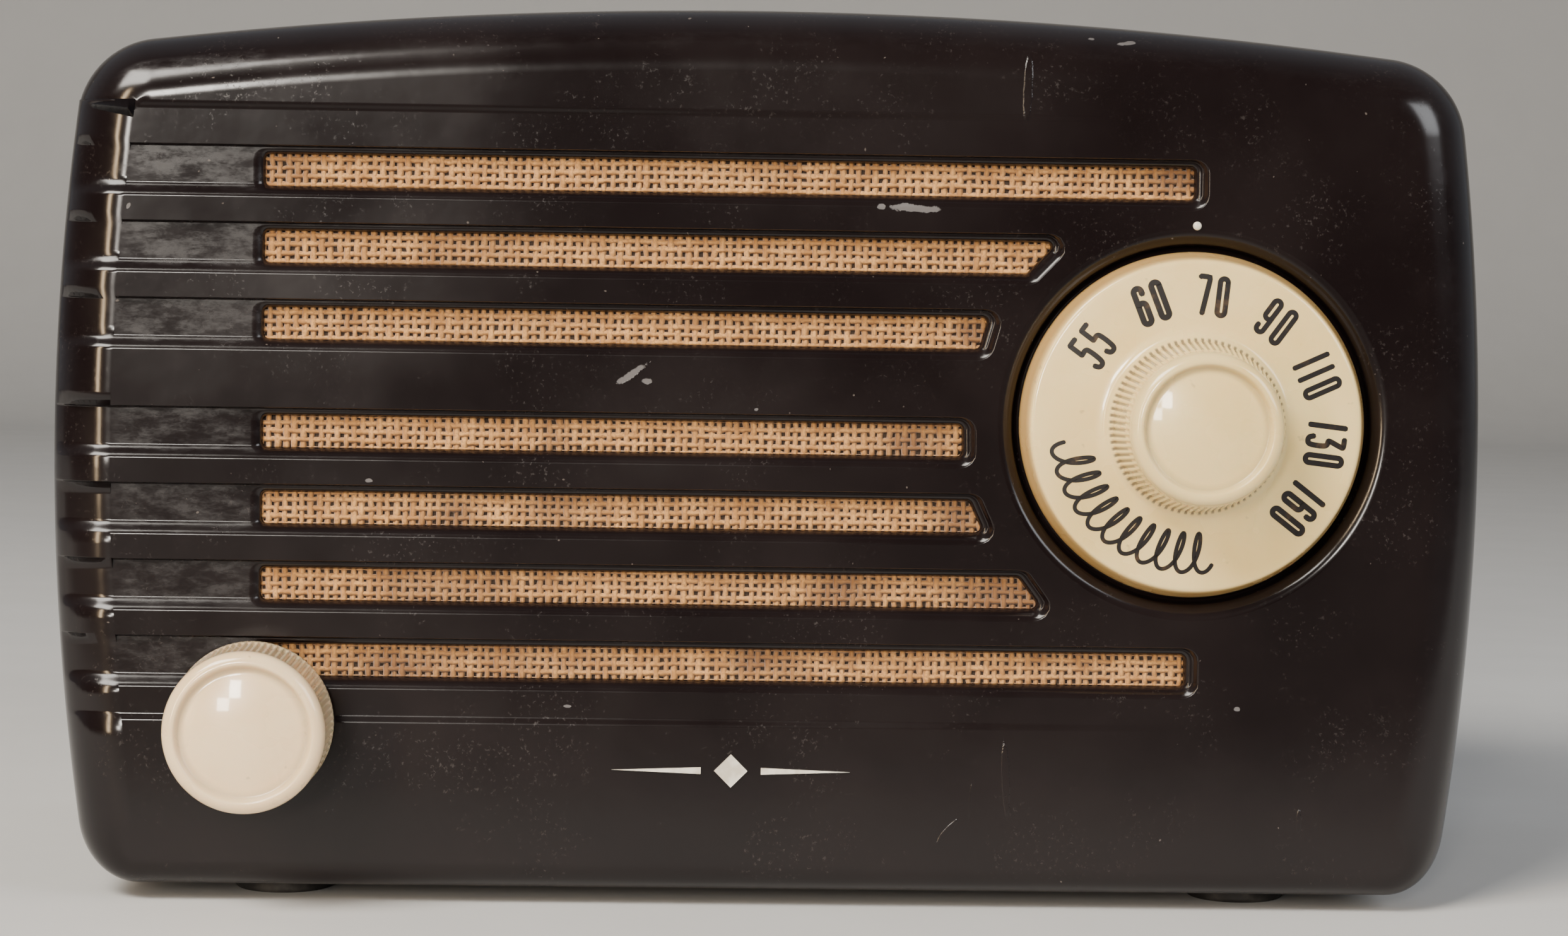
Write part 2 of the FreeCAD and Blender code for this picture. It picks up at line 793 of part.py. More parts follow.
def cone_spider():
    """Corrugated cloth disc that centres the voice coil."""
    t = cone_wall
    r0 = coil_radius
    r1 = shelf_radius - 0.5
    wave = (r1 - r0) / 5
    front = [(r0 + i * wave, shelf_y - t - (0.6 if i % 2 else 0)) for i in range(6)]
    back = [(r, y + t) for r, y in reversed(front)]
    back[0] = (r1, shelf_y)
    flat = [(r1, shelf_y - 2 * t)]
    return turned(front[:-1] + flat + back[:1] + [(neck_radius, shelf_y)] + back[2:], speaker_x, speaker_z)


# ---------------------------------------------------------------- chassis

def chassis_notch():
    """Bay in the front of the pan that the speaker hangs down into."""
    drop = speaker_z - deck_z
    half = math.sqrt(max(speaker_radius ** 2 - drop ** 2, (speaker_radius / 2) ** 2)) + notch_side_gap
    return speaker_x - half, speaker_x + half, chassis_front_y + notch_back


def pan_block(inset):
    x0, x1, y1 = chassis_notch()
    base = -1 if inset else 0
    pan = block(-chassis_half + inset, chassis_half - inset, chassis_front_y + inset,
                chassis_rear_y - inset, floor_z + base, deck_z - inset)
    notch = block(x0 - inset, x1 + inset, chassis_front_y - 1, y1 + inset, floor_z - 2, deck_z + 1)
    return pan.cut(notch)


def chassis_screw_places():
    x = chassis_half - chassis_tab / 2 - chassis_sheet
    y_front = chassis_front_y + 28.0
    y_rear = chassis_rear_y - 10.0
    return [(sx * x, y) for sx in (-1, 1) for y in (y_front, y_rear)]


def chassis_tabs():
    """Feet turned inwards along both ends of the pan, where the screws come up."""
    tabs = []
    for x, y in chassis_screw_places():
        half = chassis_tab / 2
        tabs.append(block(x - half, x + half, y - half, y + half, floor_z, floor_z + chassis_sheet))
    return tabs


def chassis_pan():
    """Folded and plated steel pan with holes for every part that it carries."""
    pan = pan_block(0).cut(pan_block(chassis_sheet))
    pan = joined([pan] + chassis_tabs())
    holes = [rod_y(bush_radius + bush_gap, chassis_front_y - 1, control_y + 1, volume_x, volume_z)]
    for x, y in valve_places():
        holes.append(rod_z(socket_hole, deck_z - 2, deck_z + 1, x, y))
    for x, y in chassis_screw_places():
        holes.append(rod_z(screw_radius, floor_z - 1, floor_z + 2, x, y))
    for x, y in gang_foot_places():
        holes.append(rod_z(screw_radius, deck_z - 2, deck_z + 1, x, y))
    x, z = inlet_place()
    holes.append(block(x - inlet_width / 2 + inlet_wall, x + inlet_width / 2 - inlet_wall,
                       chassis_rear_y - 2, chassis_rear_y + 1,
                       z - inlet_height / 2 + inlet_wall, z + inlet_height / 2 - inlet_wall))
    return pan.cut(holes)


def chassis_screws():
    """Pan-head screws driven up through the cabinet floor into the pan's feet."""
    screws = []
    for x, y in chassis_screw_places():
        head = rod_z(screw_head_radius, foot_height - screw_head_thick, foot_height, x, y)
        stem = rod_z(screw_radius, foot_height, floor_z + chassis_sheet + 5, x, y)
        screws.append(joined([head, stem]))
    return group(screws)


# ---------------------------------------------------------------- tuning capacitor

gang_y = chassis_front_y
gang_end_y = gang_y + gang_length
gang_base_z = deck_z + gang_lift


def gang_foot_places():
    y0 = gang_y + 6.0
    y1 = gang_end_y - 6.0
    return [(dial_x - 10, y0), (dial_x + 10, y0), (dial_x, y1)]


def stator_rod_places():
    reach = (stator_reach - stator_rod_inset) * math.sqrt(0.5)
    return [(dial_x - reach, dial_z + reach), (dial_x - reach, dial_z - reach)]


def gang_frame():
    """U-shaped steel frame with end plates, the shaft's bearings and a middle screen."""
    x0 = dial_x - gang_half_width
    x1 = dial_x + gang_half_width
    z1 = dial_z + gang_above_shaft
    p = gang_plate
    base = block(x0, x1, gang_y, gang_end_y, gang_base_z, gang_base_z + p)
    plates = [block(x0, x1, y, y + p, gang_base_z, z1) for y in (gang_y, gang_end_y - p)]
    bearing = rod_y(shaft_radius + 2.4, gang_y - 2.0, gang_y, dial_x, dial_z)
    tie = block(x1 - 6, x1, gang_y, gang_end_y, z1 - p, z1)
    frame = joined([base, tie, bearing] + plates)
    bores = [rod_y(shaft_radius + running_gap, gang_y - 3, gang_end_y + 1, dial_x, dial_z)]
    bores += [rod_y(insulator_radius, gang_y - 1, gang_end_y + 1, x, z) for x, z in stator_rod_places()]
    bores += [rod_z(screw_radius, gang_base_z - 1, gang_base_z + p + 1, x, y) for x, y in gang_foot_places()]
    return frame.cut(bores)


def gang_grommets():
    """Soft bushes that float the capacitor above the deck, with their screws."""
    parts = []
    for x, y in gang_foot_places():
        parts.append(rod_z(4.2, deck_z, gang_base_z, x, y).cut(rod_z(screw_radius, deck_z - 1, gang_base_z + 1, x, y)))
    return group(parts)


def gang_screws():
    parts = []
    top = gang_base_z + gang_plate
    for x, y in gang_foot_places():
        stem = rod_z(screw_radius, deck_z - 4, top, x, y)
        head = rod_z(screw_head_radius, top, top + screw_head_thick, x, y)
        parts.append(joined([stem, head]))
    return group(parts)


def half_plate(radius, y, angle):
    """Half disc of one vane, its middle pointing at a clockwise angle from the top."""
    disc = rod_y(radius, y, y + plate_thick, 0, 0)
    half = disc.cut(block(-radius - 1, radius + 1, y - 1, y + plate_thick + 1, -radius - 1, 0))
    half.rotate(V(0, 0, 0), V(0, 1, 0), angle)
    return half.translated(V(dial_x, 0, dial_z))


def section_starts():
    """First vane position of the aerial and the oscillator section."""
    first = gang_y + gang_plate + 2.6
    run = plates_per_section * plate_pitch
    return [first, first + run + 5.0]


def rotor_plates():
    """Two sets of turning vanes with their hubs on the shaft."""
    solids = []
    for start in section_starts():
        run = (plates_per_section - 1) * plate_pitch + plate_thick
        hub = rod_y(rotor_hub, start, start + run, dial_x, dial_z)
        vanes = [half_plate(rotor_radius, start + i * plate_pitch, -90.0 - tuning_shut_angle)
                 for i in range(plates_per_section)]
        whole = joined([hub] + vanes)
        solids.append(whole.cut(rod_y(shaft_radius, start - 1, start + run + 1, dial_x, dial_z)))
    return group(solids)


def gang_stator():
    """Two sets of fixed vanes, each soldered to a pair of rods."""
    solids = []
    for start in section_starts():
        solids.append(stator_section(start + plate_pitch / 2))
    return group(solids)


def stator_section(start):
    vanes = []
    for i in range(plates_per_section - 1):
        y = start + i * plate_pitch
        vane = half_plate(stator_reach, y, -90.0)
        vanes.append(vane.cut(rod_y(stator_hub, y - 1, y + 2, dial_x, dial_z)))
    end = start + (plates_per_section - 2) * plate_pitch + plate_thick
    rods = [rod_y(stator_rod, start - 2.0, end + 2.0, x, z) for x, z in stator_rod_places()]
    return joined(vanes + rods)


def gang_insulators():
    """Ceramic rods that carry the stator between the end plates."""
    first, second = section_starts()
    run = (plates_per_section - 2) * plate_pitch + plate_thick
    half = plate_pitch / 2
    spans = [(gang_y, first + half - 2.0 + 1.0), (first + half + run + 2.0 - 1.0, second + half - 2.0 + 1.0),
             (second + half + run + 2.0 - 1.0, gang_end_y)]
    parts = []
    for x, z in stator_rod_places():
        for y0, y1 in spans:
            bar = rod_y(insulator_radius, y0, y1, x, z)
            parts.append(bar.cut([rod_y(stator_rod, s + half - 2.0, s + half + run + 2.0, x, z)
                                  for s in (first, second)]))
    return group(parts)


def gang_trimmers():
    """Mica trimmers with brass screws on the right side of the frame."""
    x = dial_x + gang_half_width
    parts = []
    for start in section_starts():
        y = start + plates_per_section * plate_pitch / 2
        pad = block(x - 1.6, x + 2.0, y - 5, y + 5, dial_z - 7, dial_z + 7)
        pad = pad.cut(block(x - 2.0, x, y - 6, y + 6, dial_z - 8, dial_z + 8))
        screw = rod_x(2.0, x + 2.0, x + 3.4, y, dial_z)
        strap = block(x, x + 0.8, y - 1.5, y + 1.5, gang_base_z, dial_z - 7)
        parts.append(joined([pad, screw, strap]))
    side = block(x - 0.001, x, gang_y, gang_end_y, gang_base_z, gang_base_z + 1)
    return group([part.cut(side) for part in parts])


def tuning_shaft():
    start = knob_bore_end
    return rod_y(shaft_radius, start, gang_end_y + 2.0, dial_x, dial_z)


# ---------------------------------------------------------------- parts on the deck

def deck_row():
    """Six places in a row behind the speaker."""
    pitch = (2 * chassis_half - 2 * deck_edge) / 5
    y = chassis_rear_y - deck_row_back
    return [(-chassis_half + deck_edge + i * pitch, y) for i in range(6)]


def valve_places():
    row = deck_row()
    return [row[0], row[1], row[3], row[5]]


def can_places():
    row = deck_row()
    return [row[2], row[4]]


def tube_sockets():
    """Moulded octal sockets with a flange on the deck and contacts below."""
    parts = []
    for x, y in valve_places():
        flange = rod_z(socket_radius, deck_z, deck_z + socket_proud, x, y)
        body = rod_z(socket_hole, deck_z - chassis_sheet - socket_below, deck_z, x, y)
        pins = [rod_z(0.8, deck_z - chassis_sheet - socket_below - 4, deck_z - chassis_sheet - socket_below,
                      x + 8.7 * math.cos(math.radians(45 * i)), y + 8.7 * math.sin(math.radians(45 * i)))
                for i in range(8)]
        parts.append(joined([flange, body] + pins))
    return group(parts)


valve_z = deck_z + socket_proud
glass_z = valve_z + valve_base_height


def tube_base(x, y):
    """Black moulded base with a key ring round its foot."""
    r = valve_base_radius
    return turned_upright([(0, valve_z), (r - 1, valve_z), (r, valve_z + 1.5), (r, glass_z), (0, glass_z)], x, y)


def glass_profile(radius, low, high):
    """Straight-sided envelope with a domed head, as (radius, z) points down to the base."""
    return [(radius, low), (radius, high - radius * 0.7), (radius * 0.9, high - radius * 0.32),
            (radius * 0.6, high - radius * 0.08), (0, high)]


def tube_glass(x, y):
    outer = glass_profile(glass_radius, glass_z, glass_z + glass_height)
    inner = glass_profile(glass_radius - glass_wall, glass_z, glass_z + glass_height - glass_wall)
    return turned_upright(outer + inner[::-1], x, y)


def tube_electrodes():
    """Anode cylinders between mica discs, standing on the press of each valve."""
    parts = []
    low = glass_z + 8.0
    high = low + electrode_height
    for x, y in valve_places():
        press = rod_z(3.0, glass_z, low, x, y)
        anode = rod_z(electrode_radius, low, high, x, y)
        micas = [rod_z(mica_radius, z, z + 0.5, x, y) for z in (low, high)]
        getter = rod_z(1.0, high + 0.5, high + 6.0, x, y)
        parts.append(joined([press, anode, getter] + micas))
    return group(parts)


def if_can(x, y):
    """Drawn aluminium screening can with rounded corners."""
    half = can_side / 2
    can = block(x - half, x + half, y - half, y + half, deck_z, deck_z + can_height)
    edges = [e for e in can.Edges if e.BoundBox.ZLength > can_height / 2 or e.BoundBox.ZMin > deck_z + 1]
    can = can.makeFillet(3.0, edges)
    return can.cut(rod_z(3.0, deck_z + can_height - 1.2, deck_z + can_height + 1, x, y))


def transformer_box():
    x = -chassis_half + 2.0
    y = chassis_front_y + transformer_y_gap
    return x, x + transformer_width, y, y + transformer_depth


def output_transformer_core():
    """Stack of iron laminations standing on the deck with two windows for the coil."""
    x0, x1, y0, y1 = transformer_box()
    leg = transformer_width / 6
    core = block(x0, x1, y0 + 3, y1 - 3, deck_z, deck_z + transformer_height)
    z0 = deck_z + leg
    z1 = deck_z + transformer_height - leg
    mid = (x0 + x1) / 2
    windows = [block(x0 + leg, mid - leg, y0, y1, z0, z1), block(mid + leg, x1 - leg, y0, y1, z0, z1)]
    return core.cut(windows)


def output_transformer_coil():
    """Paper-wrapped winding round the middle leg of the core."""
    x0, x1, y0, y1 = transformer_box()
    leg = transformer_width / 6
    mid = (x0 + x1) / 2
    z0 = deck_z + leg
    z1 = deck_z + transformer_height - leg
    coil = block(x0 + leg, x1 - leg, y0, y1, z0, z1)
    hole = block(mid - leg, mid + leg, y0 + 3, y1 - 3, z0 - 1, z1 + 1)
    return coil.cut(hole)


# ---------------------------------------------------------------- parts below the deck

def filter_capacitor():
    """Cardboard-cased electrolytic lying along the rear apron."""
    y = chassis_rear_y - chassis_sheet - filter_radius - 1.0
    z = floor_z + chassis_sheet + filter_radius + 0.5
    return rod_x(filter_radius, -filter_length / 2, filter_length / 2, y, z)


def oscillator_coil():
    """Winding on a cardboard former that hangs from the deck."""
    x, y = -chassis_half + 16.0, chassis_front_y + notch_back - 12.0
    top = deck_z - chassis_sheet
    former = rod_z(coil_former_radius, top - coil_former_length, top, x, y)
    bore = rod_z(coil_former_radius - 1.0, top - coil_former_length - 1, top - 3, x, y)
    winding = rod_z(coil_former_radius + 1.6, top - 20, top - 8, x, y)
    return joined([former, winding]).cut(bore)


def strip_lines():
    x1 = chassis_half - 10.0
    return x1 - strip_span, x1


def strip_start():
    return chassis_front_y + 9.0


def terminal_strips():
    """Two phenolic tag strips that carry the small parts, hung from the deck."""
    strips = []
    top = deck_z - chassis_sheet
    z0 = top - 2 * strip_height
    for x in strip_lines():
        y0 = strip_start()
        board = block(x - strip_thick / 2, x + strip_thick / 2, y0, y0 + strip_length, z0, z0 + strip_height)
        hangers = [block(x - strip_thick / 2, x + strip_thick / 2, y, y + 4, z0 + strip_height, top)
                   for y in (y0, y0 + strip_length - 4)]
        strips.append(joined([board] + hangers))
    return group(strips)


def bridging_part(index, radius, length):
    """One wired part lying between the two strips."""
    x0, x1 = strip_lines()
    y = strip_start() + 3.0 + index * part_pitch
    z = deck_z - chassis_sheet - 1.5 * strip_height
    mid = (x0 + x1) / 2
    body = rod_x(radius, mid - length / 2, mid + length / 2, y, z)
    lead = rod_x(lead_radius, x0 + strip_thick / 2, x1 - strip_thick / 2, y, z)
    return joined([body, lead])


def paper_capacitors():
    return group([bridging_part(i, paper_radius * 0.9, paper_length) for i in (0, 2, 4)])


def resistors():
    return group([bridging_part(i, resistor_radius, resistor_length) for i in (1, 3, 5)])


# ---------------------------------------------------------------- back

def inlet_place():
    return -side_x + inlet_x_inset, foot_height + inlet_height_up


def cover_screw_places():
    inset = sheet + screw_head_radius + 0.5
    z0 = foot_height + lower_corner + 16
    z1 = top_z - upper_corner - 16
    places = []
    for z in (z0, z1):
        rise = z - foot_height - widest_height
        x = side_x - flank_radius + math.sqrt((flank_radius - inset) ** 2 - rise ** 2)
        places += [(-x, z), (x, z)]
    return places


def rim_holes():
    return [rod_y(screw_radius, cover_y - sheet - 1, cover_y + 1, x, z) for x, z in cover_screw_places()]


def vent_holes():
    holes = []
    top = top_z - vent_top_drop
    for row in range(vent_rows):
        shift = vent_pitch_x / 2 if row % 2 else 0
        count = vent_columns - row % 2
        for column in range(count):
            x = (column - (vent_columns - 1) / 2) * vent_pitch_x + shift
            z = top - row * vent_pitch_z
            holes.append(rod_y(vent_radius, cover_y - 1, rear_y + 1, x, z))
    return holes


def back_cover():
    """Hardboard back with rows of vent holes and a cut-out for the power inlet."""
    board = Part.Face(outline(sheet + cover_gap, cover_y)).extrude(V(0, cover_thick, 0))
    x, z = inlet_place()
    w = inlet_width / 2 + cover_gap
    h = inlet_height / 2 + cover_gap
    cuts = vent_holes()
    cuts.append(block(x - w, x + w, cover_y - 1, rear_y + 1, z - h, z + h))
    cuts += [rod_y(screw_radius, cover_y - 1, rear_y, x, z) for x, z in cover_screw_places()]
    return board.cut(cuts)


def back_screws():
    screws = []
    outer = cover_y + cover_thick
    for x, z in cover_screw_places():
        stem = rod_y(screw_radius, cover_y - sheet - 4, outer, x, z)
        head = rod_y(screw_head_radius, outer, outer + screw_head_thick, x, z)
        head = head.makeFillet(screw_head_thick * 0.6, [e for e in head.Edges if e.BoundBox.YMin > outer + 0.1])
        slot = block(x - screw_head_radius, x + screw_head_radius, outer + screw_head_thick / 2,
                     outer + 2 * screw_head_thick, z - 0.4, z + 0.4)
        screws.append(joined([stem, head]).cut(slot))
    return group(screws)


def round_frame(half_x, half_z, corner, y, thick, z):
    """Rounded rectangular plate centred on the cabinet."""
    plate = block(-half_x, half_x, y, y + thick, z - half_z, z + half_z)
    return plate.makeFillet(corner, [e for e in plate.Edges if e.BoundBox.YLength > thick / 2])


def loop_antenna():
    """Flat winding of the aerial, cemented to the inside of the back cover."""
    half_x = side_x - loop_inset
    low = inlet_place()[1] + inlet_height / 2 + 3.0
    high = top_z - loop_inset
    half_z = (high - low) / 2
    z = (high + low) / 2
    y = cover_y - loop_thick
    outer = round_frame(half_x, half_z, loop_corner, y, loop_thick, z)
    inner = round_frame(half_x - loop_band, half_z - loop_band, loop_corner - 4, y - 1, loop_thick + 2, z)
    return outer.cut(inner)


def power_inlet():
    """Moulded two-pin inlet on the rear apron that the back cover fits round."""
    x, z = inlet_place()
    w = inlet_width / 2
    h = inlet_height / 2
    end = rear_y - rim_depth + cover_thick + inlet_proud
    body = block(x - w, x + w, chassis_rear_y, end, z - h, z + h)
    body = body.makeFillet(3.0, [e for e in body.Edges if e.BoundBox.YLength > 5])
    well = block(x - w + inlet_wall, x + w - inlet_wall, end - inlet_depth, end + 1,
                 z - h + inlet_wall, z + h - inlet_wall)
    pins = [rod_y(pin_radius, chassis_rear_y - 5, end, x + s * pin_spacing / 2, z) for s in (-1, 1)]
    return body.cut([well] + pins)


def inlet_pins():
    x, z = inlet_place()
    end = rear_y - rim_depth + cover_thick + inlet_proud - 1.0
    return group([rod_y(pin_radius, chassis_rear_y - 4, end, x + s * pin_spacing / 2, z) for s in (-1, 1)])


# ---------------------------------------------------------------- output

def main():
    os.makedirs("parts", exist_ok=True)
    builders = [cabinet_shell, rubber_feet, index_pip, front_ornament, grille_cloth, grille_baffle,
                dial_knob, tuning_shaft, volume_knob, volume_shaft, volume_wiper, volume_case,
                power_switch, volume_terminals, volume_nut, speaker_gasket, speaker_basket,
                speaker_magnet, speaker_screws, speaker_cone, voice_coil, dust_cap, cone_surround,
                cone_spider, chassis_pan, chassis_screws, gang_frame, gang_grommets, gang_screws,
                rotor_plates, gang_stator, gang_insulators, gang_trimmers, tube_sockets,
                tube_electrodes, output_transformer_core, output_transformer_coil,
                filter_capacitor, oscillator_coil, terminal_strips, paper_capacitors, resistors,
                back_cover, back_screws, loop_antenna, power_inlet, inlet_pins]
    for build in builders:
        save(build.__name__, build())
    for number, (x, y) in enumerate(valve_places(), 1):
        save("tube_base_%d" % number, tube_base(x, y))
        save("tube_glass_%d" % number, tube_glass(x, y))
    for number, (x, y) in enumerate(can_places(), 1):
        save("if_can_%d" % number, if_can(x, y))


main()
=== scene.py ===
import math

import bpy
import numpy as np
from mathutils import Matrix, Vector, geometry


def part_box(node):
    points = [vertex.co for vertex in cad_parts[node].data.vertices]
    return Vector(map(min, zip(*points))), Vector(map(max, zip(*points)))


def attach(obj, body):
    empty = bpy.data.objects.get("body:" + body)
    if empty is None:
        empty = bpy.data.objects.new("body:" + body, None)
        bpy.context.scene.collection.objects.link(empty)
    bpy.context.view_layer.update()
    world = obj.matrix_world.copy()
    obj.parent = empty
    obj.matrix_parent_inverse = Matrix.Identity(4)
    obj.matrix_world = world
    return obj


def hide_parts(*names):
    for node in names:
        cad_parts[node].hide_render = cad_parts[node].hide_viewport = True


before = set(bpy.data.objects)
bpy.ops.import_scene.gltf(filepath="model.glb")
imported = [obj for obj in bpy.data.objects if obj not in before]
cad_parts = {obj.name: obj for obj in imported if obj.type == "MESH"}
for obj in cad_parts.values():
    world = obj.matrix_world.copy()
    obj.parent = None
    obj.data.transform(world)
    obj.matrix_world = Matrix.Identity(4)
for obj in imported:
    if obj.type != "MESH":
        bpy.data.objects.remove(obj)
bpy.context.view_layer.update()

# ---------------------------------------------------------------- putting things in

def placed(name, data):
    """Puts a mesh, lamp or lens into the scene."""
    thing = bpy.data.objects.new(name, data)
    bpy.context.scene.collection.objects.link(thing)
    return thing


def meshed(name, points, faces, rounded=False):
    """Puts a mesh of points in metres into the scene, shaded smooth where rounded."""
    mesh = bpy.data.meshes.new(name)
    mesh.from_pydata(points, [], faces)
    if rounded:
        mesh.polygons.foreach_set("use_smooth", [True] * len(mesh.polygons))
    return placed(name, mesh)


# ---------------------------------------------------------------- viewpoint
# A long-lens viewpoint in front of the set, a little left of its middle and a little
# above the dial, turned slightly to the right and rolled a touch clockwise.

eye_place = (-0.0205, -0.596, 0.096)
eye_turn = (math.radians(87.9), math.radians(-0.88), math.radians(-1.6))
lens = bpy.data.cameras.new("viewpoint")
lens.sensor_width = 36.0
lens.lens = 84.7
lens.shift_x = 0.028
lens.shift_y = -0.041
lens.clip_start = 0.01
viewpoint = placed("viewpoint", lens)
viewpoint.location = eye_place
viewpoint.rotation_euler = eye_turn
bpy.context.scene.camera = viewpoint


# ---------------------------------------------------------------- cabinet
# The cabinet is one wrap of drawn steel sheet, open at the back, with rolled slots and a
# dished dial seat pressed into its front. It is stove-enamelled a very dark brown, and
# the enamel has chips, scuffs, a few runs and dust in the grooves.

def box_mm(node):
    """Lowest and highest corner of a node, in millimetres."""
    low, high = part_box(node)
    return [c * 1000.0 for c in low], [c * 1000.0 for c in high]


def smooth(t):
    t = np.clip(t, 0.0, 1.0)
    return t * t * (3.0 - 2.0 * t)


def piece_of_sheet(name, outer, normals, faces, thick, extra=()):
    """Closed mesh from a surface given as points, outward normals and faces (mm).

    The back of the sheet is the same surface set in by its thickness, and every open
    edge is closed by a strip. Extra is a list of (points, normals, faces) closed bodies.
    """
    inner = outer - normals * thick
    points = [outer, inner]
    corner_normals = []
    all_faces = []
    for face in faces:
        a, b, c = (outer[face[i]] for i in (0, 1, 2))
        turn = np.dot(np.cross(b - a, c - b), normals[face[0]] + normals[face[2]])
        face = list(face) if turn > 0 else list(face)[::-1]
        all_faces.append(face)
        corner_normals += [normals[i] for i in face]
    count = len(outer)
    edges = {}
    for face in all_faces:
        for i, j in zip(face, face[1:] + face[:1]):
            edges[(i, j)] = edges.get((i, j), 0) + 1
    rims = [(i, j) for i, j in edges if (j, i) not in edges]
    for face in all_faces[:]:
        back = [i + count for i in face[::-1]]
        all_faces.append(back)
        corner_normals += [-normals[i - count] for i in back]
    for i, j in rims:
        strip = [j, i, i + count, j + count]
        a, b, c = outer[j], outer[i], inner[i]
        across = np.cross(b - a, c - b)
        across = across / (np.linalg.norm(across) + 1e-12)
        all_faces.append(strip)
        corner_normals += [across] * 4
    base = 2 * count
    for more_points, more_normals, more_faces in extra:
        points.append(more_points)
        for face in more_faces:
            all_faces.append([i + base for i in face])
            corner_normals += [more_normals[i] for i in face]
        base += len(more_points)
    mesh = bpy.data.meshes.new(name)
    mesh.from_pydata([tuple(p) for p in np.concatenate(points) * 0.001], [], all_faces)
    mesh.update()
    mesh.polygons.foreach_set("use_smooth", [True] * len(mesh.polygons))
    mesh.normals_split_custom_set([tuple(n) for n in corner_normals])
    return placed(name, mesh)


shell_low, shell_high = box_mm("cabinet_shell")
dial_low, dial_high = box_mm("dial_knob")
pip_low, pip_high = box_mm("index_pip")
front, rear = shell_low[1], shell_high[1]
half_width = shell_high[0] - 0.02
foot_line, crown = shell_low[2], shell_high[2] - 0.02
dial_x, dial_z = (dial_low[0] + dial_high[0]) / 2, (dial_low[2] + dial_high[2]) / 2
dial_reach = (dial_high[0] - dial_low[0]) / 2

arch_radius, flank_radius, upper_round, lower_round = 770.0, 400.0, 13.0, 10.0
flank_x, flank_z, arch_z = half_width - flank_radius, foot_line + 66.0, crown - arch_radius
edge_round, edge_round_low = 9.5, 4.0
enamelled_sheet = 0.8

seat_radius = dial_reach + 0.9
seat_roll = 2.6
seat_floor = 3.9
seat_parts = 144
shaft_hole = 5.0

slot_half = 2.3
slot_left = -half_width + 32.0
slot_rows = [
    (109.65, 62.8, 62.8), (98.25, 42.3, 37.9), (86.85, 32.2, 30.9),
    (70.65, 28.5, 28.6), (59.25, 29.8, 31.9), (47.85, 37.4, 40.8), (36.45, 62.6, 62.6),
]
slot_corner = 0.7
groove_deep = 1.0
lip_deep = 1.45
lip_wide = {"up": 0.85, "down": 1.25, "left": 1.8, "right": 0.9}
groove_from = {"up": 1.0, "down": -0.3, "left": 0.0, "right": 1.1}
groove_to = {"up": 1.4, "down": 1.9, "left": 1.0, "right": 2.1}
band_deep, band_low, band_high, band_crease = 0.35, 27.9, 119.1, 1.3
groove_wrap, groove_fade = 0.4, 5.8


def row_core(left, row):
    """Corners of a slot set in by its corner radius, clockwise from the upper left."""
    z, right_top, right_low = row
    lean = (right_top - right_low) / (2 * slot_half)
    reach = slot_corner * math.hypot(1.0, lean)
    top, low = z + slot_half - slot_corner, z - slot_half + slot_corner
    x_top = right_low + lean * (top - z + slot_half) - reach
    x_low = right_low + lean * (low - z + slot_half) - reach
    return [(left + slot_corner, top), (x_top, top), (x_low, low), (left + slot_corner, low)]


def nearest(x, z, core):
    """Distance outside a rounded convex outline, and the direction away from it."""
    best = np.full(x.shape, 1e9)
    gx, gz = np.zeros(x.shape), np.zeros(x.shape)
    inside = np.full(x.shape, -1e9)
    ix, iz = np.zeros(x.shape), np.zeros(x.shape)
    for (ax, az), (bx, bz) in zip(core, core[1:] + core[:1]):
        ex, ez = bx - ax, bz - az
        size = math.hypot(ex, ez)
        nx, nz = -ez / size, ex / size
        along = np.clip(((x - ax) * ex + (z - az) * ez) / size ** 2, 0.0, 1.0)
        dx, dz = x - ax - along * ex, z - az - along * ez
        away = np.hypot(dx, dz)
        take = away < best
        best = np.where(take, away, best)
        gx = np.where(take, dx / np.maximum(away, 1e-9), gx)
        gz = np.where(take, dz / np.maximum(away, 1e-9), gz)
        side = (x - ax) * nx + (z - az) * nz
        take = side > inside
        inside = np.where(take, side, inside)
        ix, iz = np.where(take, nx, ix), np.where(take, nz, iz)
    within = inside <= 0
    distance = np.where(within, inside, best) - slot_corner
    return distance, np.where(within, ix, gx), np.where(within, iz, gz)


def by_side(sizes, gx, gz):
    """A size that turns smoothly from one side's value to the next."""
    up, down = np.maximum(gz, 0) ** 2, np.minimum(gz, 0) ** 2
    right, left = np.maximum(gx, 0) ** 2, np.minimum(gx, 0) ** 2
    return sizes["up"] * up + sizes["down"] * down + sizes["right"] * right + sizes["left"] * left


def groove_step(distance, gx, gz):
    """Depth of the pressed groove and its slope against distance."""
    start, end = by_side(groove_from, gx, gz), by_side(groove_to, gx, gz)
    t = np.clip((distance - start) / (end - start), 0.0, 1.0)
    return groove_deep * (1.0 - smooth(t)), -groove_deep * 6.0 * t * (1.0 - t) / (end - start)


def band_step(z):
    """The long shallow band between the two creases, and its slope."""
    low = np.clip((z - band_low) / band_crease + 0.5, 0.0, 1.0)
    high = np.clip((band_high - z) / band_crease + 0.5, 0.0, 1.0)
    slope = 6.0 * low * (1.0 - low) - 6.0 * high * (1.0 - high)
    return band_deep * smooth(low) * smooth(high), band_deep * slope / band_crease


